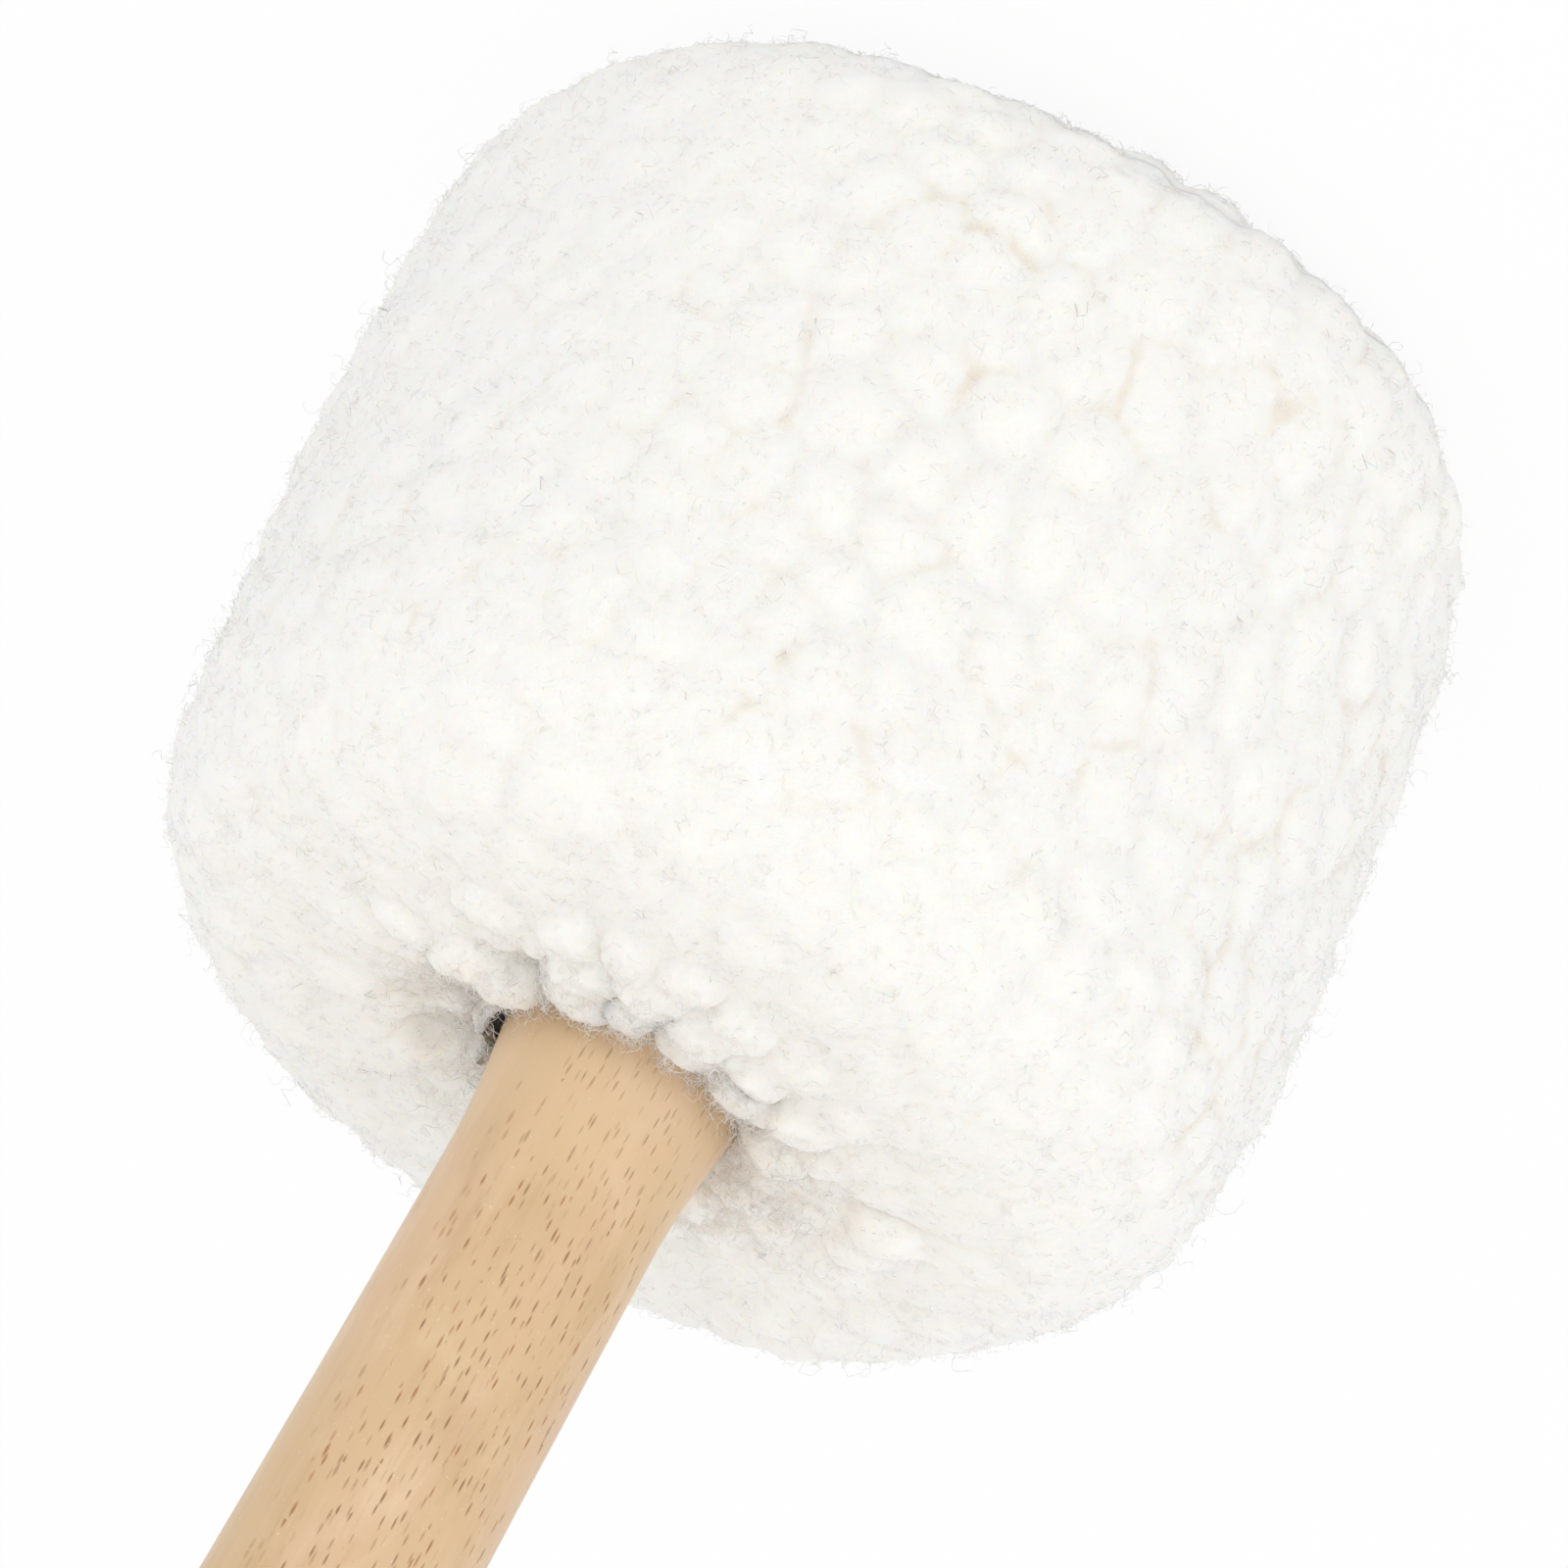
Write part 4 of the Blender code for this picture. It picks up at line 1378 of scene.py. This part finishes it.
def skin_samples(piece, count, weight_of, draw):
    """Random points of a piece's shown skin, their normals and their depth between tufts."""
    mesh = piece.data
    mesh.calc_loop_triangles()
    corners = np.empty(len(mesh.loop_triangles) * 3, np.int32)
    mesh.loop_triangles.foreach_get("vertices", corners)
    corners = corners.reshape(-1, 3)
    points, normals = coordinates(mesh), normals_of(mesh)
    shown = get_attribute(mesh, "outside")[corners].min(1) > 0.7
    corners = corners[shown]
    a, b, c = (points[corners[:, k]] for k in range(3))
    area = np.linalg.norm(np.cross(b - a, c - a), axis=1)
    weight = area * weight_of((a + b + c) / 3)
    picked = draw.choice(len(corners), size=count, p=weight / weight.sum())
    share = draw.dirichlet((1, 1, 1), size=count)
    place = (points[corners[picked]] * share[:, :, None]).sum(1)
    normal = unit((normals[corners[picked]] * share[:, :, None]).sum(1))
    depth = (get_attribute(mesh, "pile_depth")[corners[picked]] * share).sum(1)
    return place, normal, depth


def everywhere(points):
    """The same share of fibres at each point."""
    return np.ones(len(points))


def round_neck(points):
    """The share of fibres at each point that gathers them round the handle."""
    radius = np.hypot(points[:, 0], points[:, 1])
    away = np.hypot(radius - LIP_RADIUS, points[:, 2] - LIP_HEIGHT)
    close = 1 - ramp(away, 1 * MM, 5 * MM)
    return 0.02 + 0.4 * (1 - ramp(away, 4 * MM, 16 * MM)) + close


def curly_fibres(name, roots, normals, lengths, thickness, lie, knots, draw):
    """A mesh of thin three-sided fibres. Each rises from its root and winds into a curl."""
    count = len(roots)
    side = unit(np.cross(normals, draw.normal(size=(count, 3))))
    lean = lie[:, None]
    ahead = unit(normals * (1 - lean) + side * lean)
    one = unit(np.cross(ahead, draw.normal(size=(count, 3))))
    two = np.cross(ahead, one)
    turns = draw.uniform(*FIBRE_TURNS, count) * knots * TURN
    phase = draw.uniform(0, TURN, count)
    curl = lengths * draw.uniform(*FIBRE_CURL, count)
    rise = lengths * draw.uniform(*FIBRE_RISE, count)
    line = np.empty((count, knots, 3))
    for k in range(knots):
        t = k / (knots - 1)
        wind = phase + turns * t
        out = curl * t**0.5
        line[:, k] = (
            roots
            + ahead * (rise * t)[:, None]
            + one * (out * np.cos(wind))[:, None]
            + two * (out * np.sin(wind))[:, None]
            - normals * (lengths * 0.12 * t * t)[:, None]
        )
    along = unit(np.gradient(line, axis=1))
    across = unit(np.cross(along[:, 0], draw.normal(size=(count, 3))))
    rings = []
    for k in range(1, knots - 1):
        across = unit(across - (across * along[:, k]).sum(1, keepdims=True) * along[:, k])
        third = np.cross(along[:, k], across)
        taper = thickness / 2 * (1 - 0.5 * k / knots)
        for corner in range(3):
            angle = TURN * corner / 3
            offset = across * math.cos(angle) + third * math.sin(angle)
            rings.append(line[:, k] + offset * taper[:, None])
    points = np.stack([line[:, 0], *rings, line[:, -1]], 1)
    points[:, :, 2] = np.maximum(points[:, :, 2], 0)
    each = points.shape[1]
    last = each - 1
    pattern = [(0, 1 + (i + 1) % 3, 1 + i) for i in range(3)]
    for ring in range(knots - 3):
        base = 1 + 3 * ring
        for i in range(3):
            j = (i + 1) % 3
            pattern.append((base + i, base + j, base + 3 + j))
            pattern.append((base + i, base + 3 + j, base + 3 + i))
    pattern += [(last, last - 3 + i, last - 3 + (i + 1) % 3) for i in range(3)]
    faces = (np.arange(count)[:, None, None] * each + np.array(pattern)).reshape(-1, 3)

    cells = math.ceil(math.sqrt(count))
    cell = np.stack((np.arange(count) % cells, np.arange(count) // cells), -1) + 0.1
    steps = np.arange(each)
    inner = np.stack((0.8 * steps / each, 0.4 * (steps % 3)), -1)
    flat = ((cell[:, None] + inner) / cells).reshape(-1, 2)[faces.ravel()]
    mesh = mesh_of(name, points.reshape(-1, 3), faces, flat)
    set_attribute(mesh, "shade", np.repeat(draw.random(count), each))
    distance = np.hypot(np.hypot(roots[:, 0], roots[:, 1]) - LIP_RADIUS, roots[:, 2] - LIP_HEIGHT)
    set_attribute(mesh, "neck", np.repeat(1 - ramp(distance, 2 * MM, 8 * MM), each))
    piece = bpy.data.objects.new(name, mesh)
    bpy.context.scene.collection.objects.link(piece)
    return piece


class MALLET_OT_turn_handle(bpy.types.Operator):
    """Make the turned beech handle with its satin lacquer"""

    bl_idname = "mallet.turn_handle"
    bl_label = "Turn the handle"

    def execute(self, context):
        handle = merged_copy("handle", "beech_handle")
        smooth(handle, 40)
        beech = beech_finish("lacquered_beech", context.scene.mallet_beech)
        finish_piece(handle, "beech", beech, "handle")
        return {"FINISHED"}


class MALLET_OT_finish_core(bpy.types.Operator):
    """Give the core, its clamp and the rubber sleeve their materials"""

    bl_idname = "mallet.finish_core"
    bl_label = "Finish the core"

    def execute(self, context):
        steel = steel_finish()
        finishes = {
            "core_block": beech_finish("plain_core_wood", context.scene.mallet_beech, 0.3),
            "clamp_washer": steel,
            "clamp_screw": steel,
            "rubber_sleeve": rubber_finish(),
        }
        for node, material in finishes.items():
            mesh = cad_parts[node].data
            mesh.materials.clear()
            mesh.materials.append(material)
        return {"FINISHED"}


class MALLET_OT_pad_core(bpy.types.Operator):
    """Make the felt and wadding layers round the core"""

    bl_idname = "mallet.pad_core"
    bl_label = "Pad the core"

    def execute(self, context):
        settings = context.scene.mallet_padding
        felt = felt_finish("grey_wool_felt", settings.felt, settings.felt_threads)
        soft = (settings.wadding, settings.wadding_threads)
        wadding = felt_finish("polyester_wadding", *soft, scale=500)
        # Node, slot, material, how much its edges are rounded, and how firmly it is filled
        layers = (
            ("felt_wrap", "felt", felt, 0.5 * MM, 0.95),
            ("felt_crown_disc", "felt", felt, 0.8 * MM, 0.95),
            ("felt_base_ring", "felt", felt, 0.8 * MM, 0.95),
            ("wadding_crown_pad", "wadding", wadding, 1.5 * MM, 0.6),
            ("wadding_jacket", "wadding", wadding, 1.5 * MM, 0.6),
        )
        for node, slot, material, edge, fill in layers:
            layer = merged_copy(node, node + "_soft")
            round_edges(layer, edge)
            smooth(layer, 50)
            finish_piece(layer, slot, material, node)
        return {"FINISHED"}


class MALLET_OT_fit_neck(bpy.types.Operator):
    """Make the felt collar and the gathering cord at the neck"""

    bl_idname = "mallet.fit_neck"
    bl_label = "Fit the neck"

    def execute(self, context):
        settings = context.scene.mallet_padding
        collar = merged_copy("neck_collar", "collar")
        round_edges(collar, 0.4 * MM)
        smooth(collar, 80)
        dark = (settings.collar, settings.collar_threads)
        charcoal = felt_finish("charcoal_felt", *dark, scale=2200)
        finish_piece(collar, "collar_felt", charcoal, "neck_collar")
        cord = merged_copy("gather_cord", "gathering_cord")
        smooth(cord, 60)
        low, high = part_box("gather_cord")
        cotton = cord_finish(settings, radius=(high.z - low.z) / 2)
        finish_piece(cord, "cord", cotton, "gather_cord")
        return {"FINISHED"}


class MALLET_OT_sew_cover(bpy.types.Operator):
    """Make the fleece cover: the side band and the crown panel"""

    bl_idname = "mallet.sew_cover"
    bl_label = "Sew the cover"

    def execute(self, context):
        settings = context.scene.mallet_cover
        wool = wool_finish("cream_wool", settings)
        # Name, node, section, coarse columns, and fine rows in each coarse one
        parts = (
            ("fleece_side", "fleece_band", band_section(), 105, 6),
            ("fleece_crown", "fleece_crown_panel", crown_section(), 72, 7),
        )
        panels = []
        for name, node, (outside, inside), columns, finer in parts:
            panel, rows = revolve(name, outside, inside, columns)
            start = coordinates(panel.data)
            shown = get_attribute(panel.data, "outside") > 0.5
            start -= normals_of(panel.data) * (fold_inset(start) * shown)[:, None]
            set_coordinates(panel.data, start)
            stuff(panel, settings.puff)
            fine_skin(panel, rows, len(outside), finer)
            set_coordinates(panel.data, settle(coordinates(panel.data)))
            finish_piece(panel, "fleece", wool, node)
            panels.append(panel)
        raise_tufts(panels, settings, 3)
        return {"FINISHED"}


class MALLET_OT_raise_pile(bpy.types.Operator):
    """Make the loose curly fibres that stand on the cover"""

    bl_idname = "mallet.raise_pile"
    bl_label = "Raise the pile"

    def execute(self, context):
        settings = context.scene.mallet_pile
        fibre = fibre_finish("wool_fibre", settings)
        side, crown = bpy.data.objects["fleece_side"], bpy.data.objects["fleece_crown"]
        # Name, panel, share at each place, length, least lie along the skin, knots and seed
        sheets = (
            ("pile_side_a", side, everywhere, 1.0, 0.6, 5, 21),
            ("pile_side_b", side, everywhere, 1.0, 0.6, 5, 22),
            ("pile_crown", crown, everywhere, 1.0, 0.6, 5, 24),
            ("pile_neck", side, round_neck, 1.65, 0.35, 8, 25),
        )
        for name, panel, weight, longer, least_lie, knots, seed in sheets:
            draw = np.random.default_rng(seed)
            # A fibre with more knots has more faces, so there are fewer of them
            count = settings.count * 3 // (knots - 2)
            roots, normals, depth = skin_samples(panel, count, weight, draw)
            lengths = settings.length * longer * draw.uniform(0.6, 1.4, count)
            thickness = settings.thickness * draw.uniform(0.7, 1.3, count)
            lie = draw.uniform(least_lie, 1.0, count)
            roots -= normals * 0.2 * MM
            pile = curly_fibres(name, roots, normals, lengths, thickness, lie, knots, draw)
            each = len(pile.data.vertices) // count
            # A few brownish fibres lie deep between the tufts
            stray = (draw.random(count) < 0.12 * (depth - 0.25)) * draw.uniform(0.3, 0.9, count)
            set_attribute(pile.data, "stray", np.repeat(stray, each))
            finish_piece(pile, "fleece", fibre)
        return {"FINISHED"}


class MALLET_OT_set_stage(bpy.types.Operator):
    """Make the camera, the lamps, the floor and the background"""

    bl_idname = "mallet.set_stage"
    bl_label = "Set the stage"

    def execute(self, context):
        settings = context.scene.mallet_stage
        scene = context.scene
        lean, rise = settings.lean, settings.elevation
        axis_x = Vector((math.cos(lean), -math.sin(lean), 0))
        axis_z = Vector(
            (-math.sin(lean) * math.cos(rise), -math.cos(lean) * math.cos(rise), math.sin(rise))
        )
        axis_y = axis_z.cross(axis_x)
        seen = Matrix((axis_x, axis_y, axis_z)).transposed().to_4x4()
        seen.translation = Vector(settings.offset)
        camera = bpy.data.objects.new("camera", bpy.data.cameras.new("camera"))
        camera.data.sensor_width = 36
        camera.data.lens = settings.lens
        camera.data.clip_start = 0.01
        camera.matrix_world = seen.inverted()
        scene.collection.objects.link(camera)
        scene.camera = camera

        camera_turn = camera.matrix_world.to_3x3()
        centre = Vector((0, 0, HEAD_HEIGHT / 2))
        for name, toward, power in LAMPS:
            data = bpy.data.lights.new(name, "AREA")
            data.shape = "DISK"
            data.size = settings.lamp_size
            data.energy = power
            lamp = bpy.data.objects.new(name, data)
            way = (camera_turn @ Vector(toward)).normalized()
            lamp.location = centre + way * settings.lamp_distance
            lamp.rotation_euler = way.to_track_quat("Z", "Y").to_euler()
            scene.collection.objects.link(lamp)

        world = bpy.data.worlds.new("studio")
        scene.world = world
        world.use_nodes = True
        sky = Nodes(world.node_tree)
        background = sky.tree.nodes["Background"]
        background.inputs["Color"].default_value = (1, 1, 1, 1)
        strength = settings.ambient + (1 - settings.ambient) * sky.sees_white()
        sky.tree.links.new(strength.socket, background.inputs["Strength"])

        bpy.ops.object.select_all(action="DESELECT")
        bpy.ops.mesh.primitive_plane_add(size=12)
        floor = context.active_object
        floor.name = "floor"
        floor.data.materials.append(floor_finish())
        scene.view_settings.view_transform = "Standard"
        return {"FINISHED"}


class MALLET_PT_panel(bpy.types.Panel):
    """The mallet's operators in the sidebar"""

    bl_idname = "MALLET_PT_panel"
    bl_label = "Gong mallet"
    bl_space_type = "VIEW_3D"
    bl_region_type = "UI"
    bl_category = "Mallet"

    def draw(self, context):
        for operator in OPERATORS:
            self.layout.operator(operator.bl_idname)


SETTINGS = {
    "mallet_cover": CoverSettings,
    "mallet_pile": PileSettings,
    "mallet_padding": PaddingSettings,
    "mallet_beech": BeechSettings,
    "mallet_stage": StageSettings,
}
OPERATORS = (
    MALLET_OT_turn_handle,
    MALLET_OT_finish_core,
    MALLET_OT_pad_core,
    MALLET_OT_fit_neck,
    MALLET_OT_sew_cover,
    MALLET_OT_raise_pile,
    MALLET_OT_set_stage,
)


def register():
    for cls in (*SETTINGS.values(), *OPERATORS, MALLET_PT_panel):
        bpy.utils.register_class(cls)
    for name, cls in SETTINGS.items():
        setattr(bpy.types.Scene, name, PointerProperty(type=cls))


def unregister():
    for name in SETTINGS:
        delattr(bpy.types.Scene, name)
    for cls in reversed((*SETTINGS.values(), *OPERATORS, MALLET_PT_panel)):
        bpy.utils.unregister_class(cls)


def main():
    register()
    for operator in OPERATORS:
        group, name = operator.bl_idname.split(".")
        getattr(getattr(bpy.ops, group), name)()


if __name__ == "__main__":
    main()
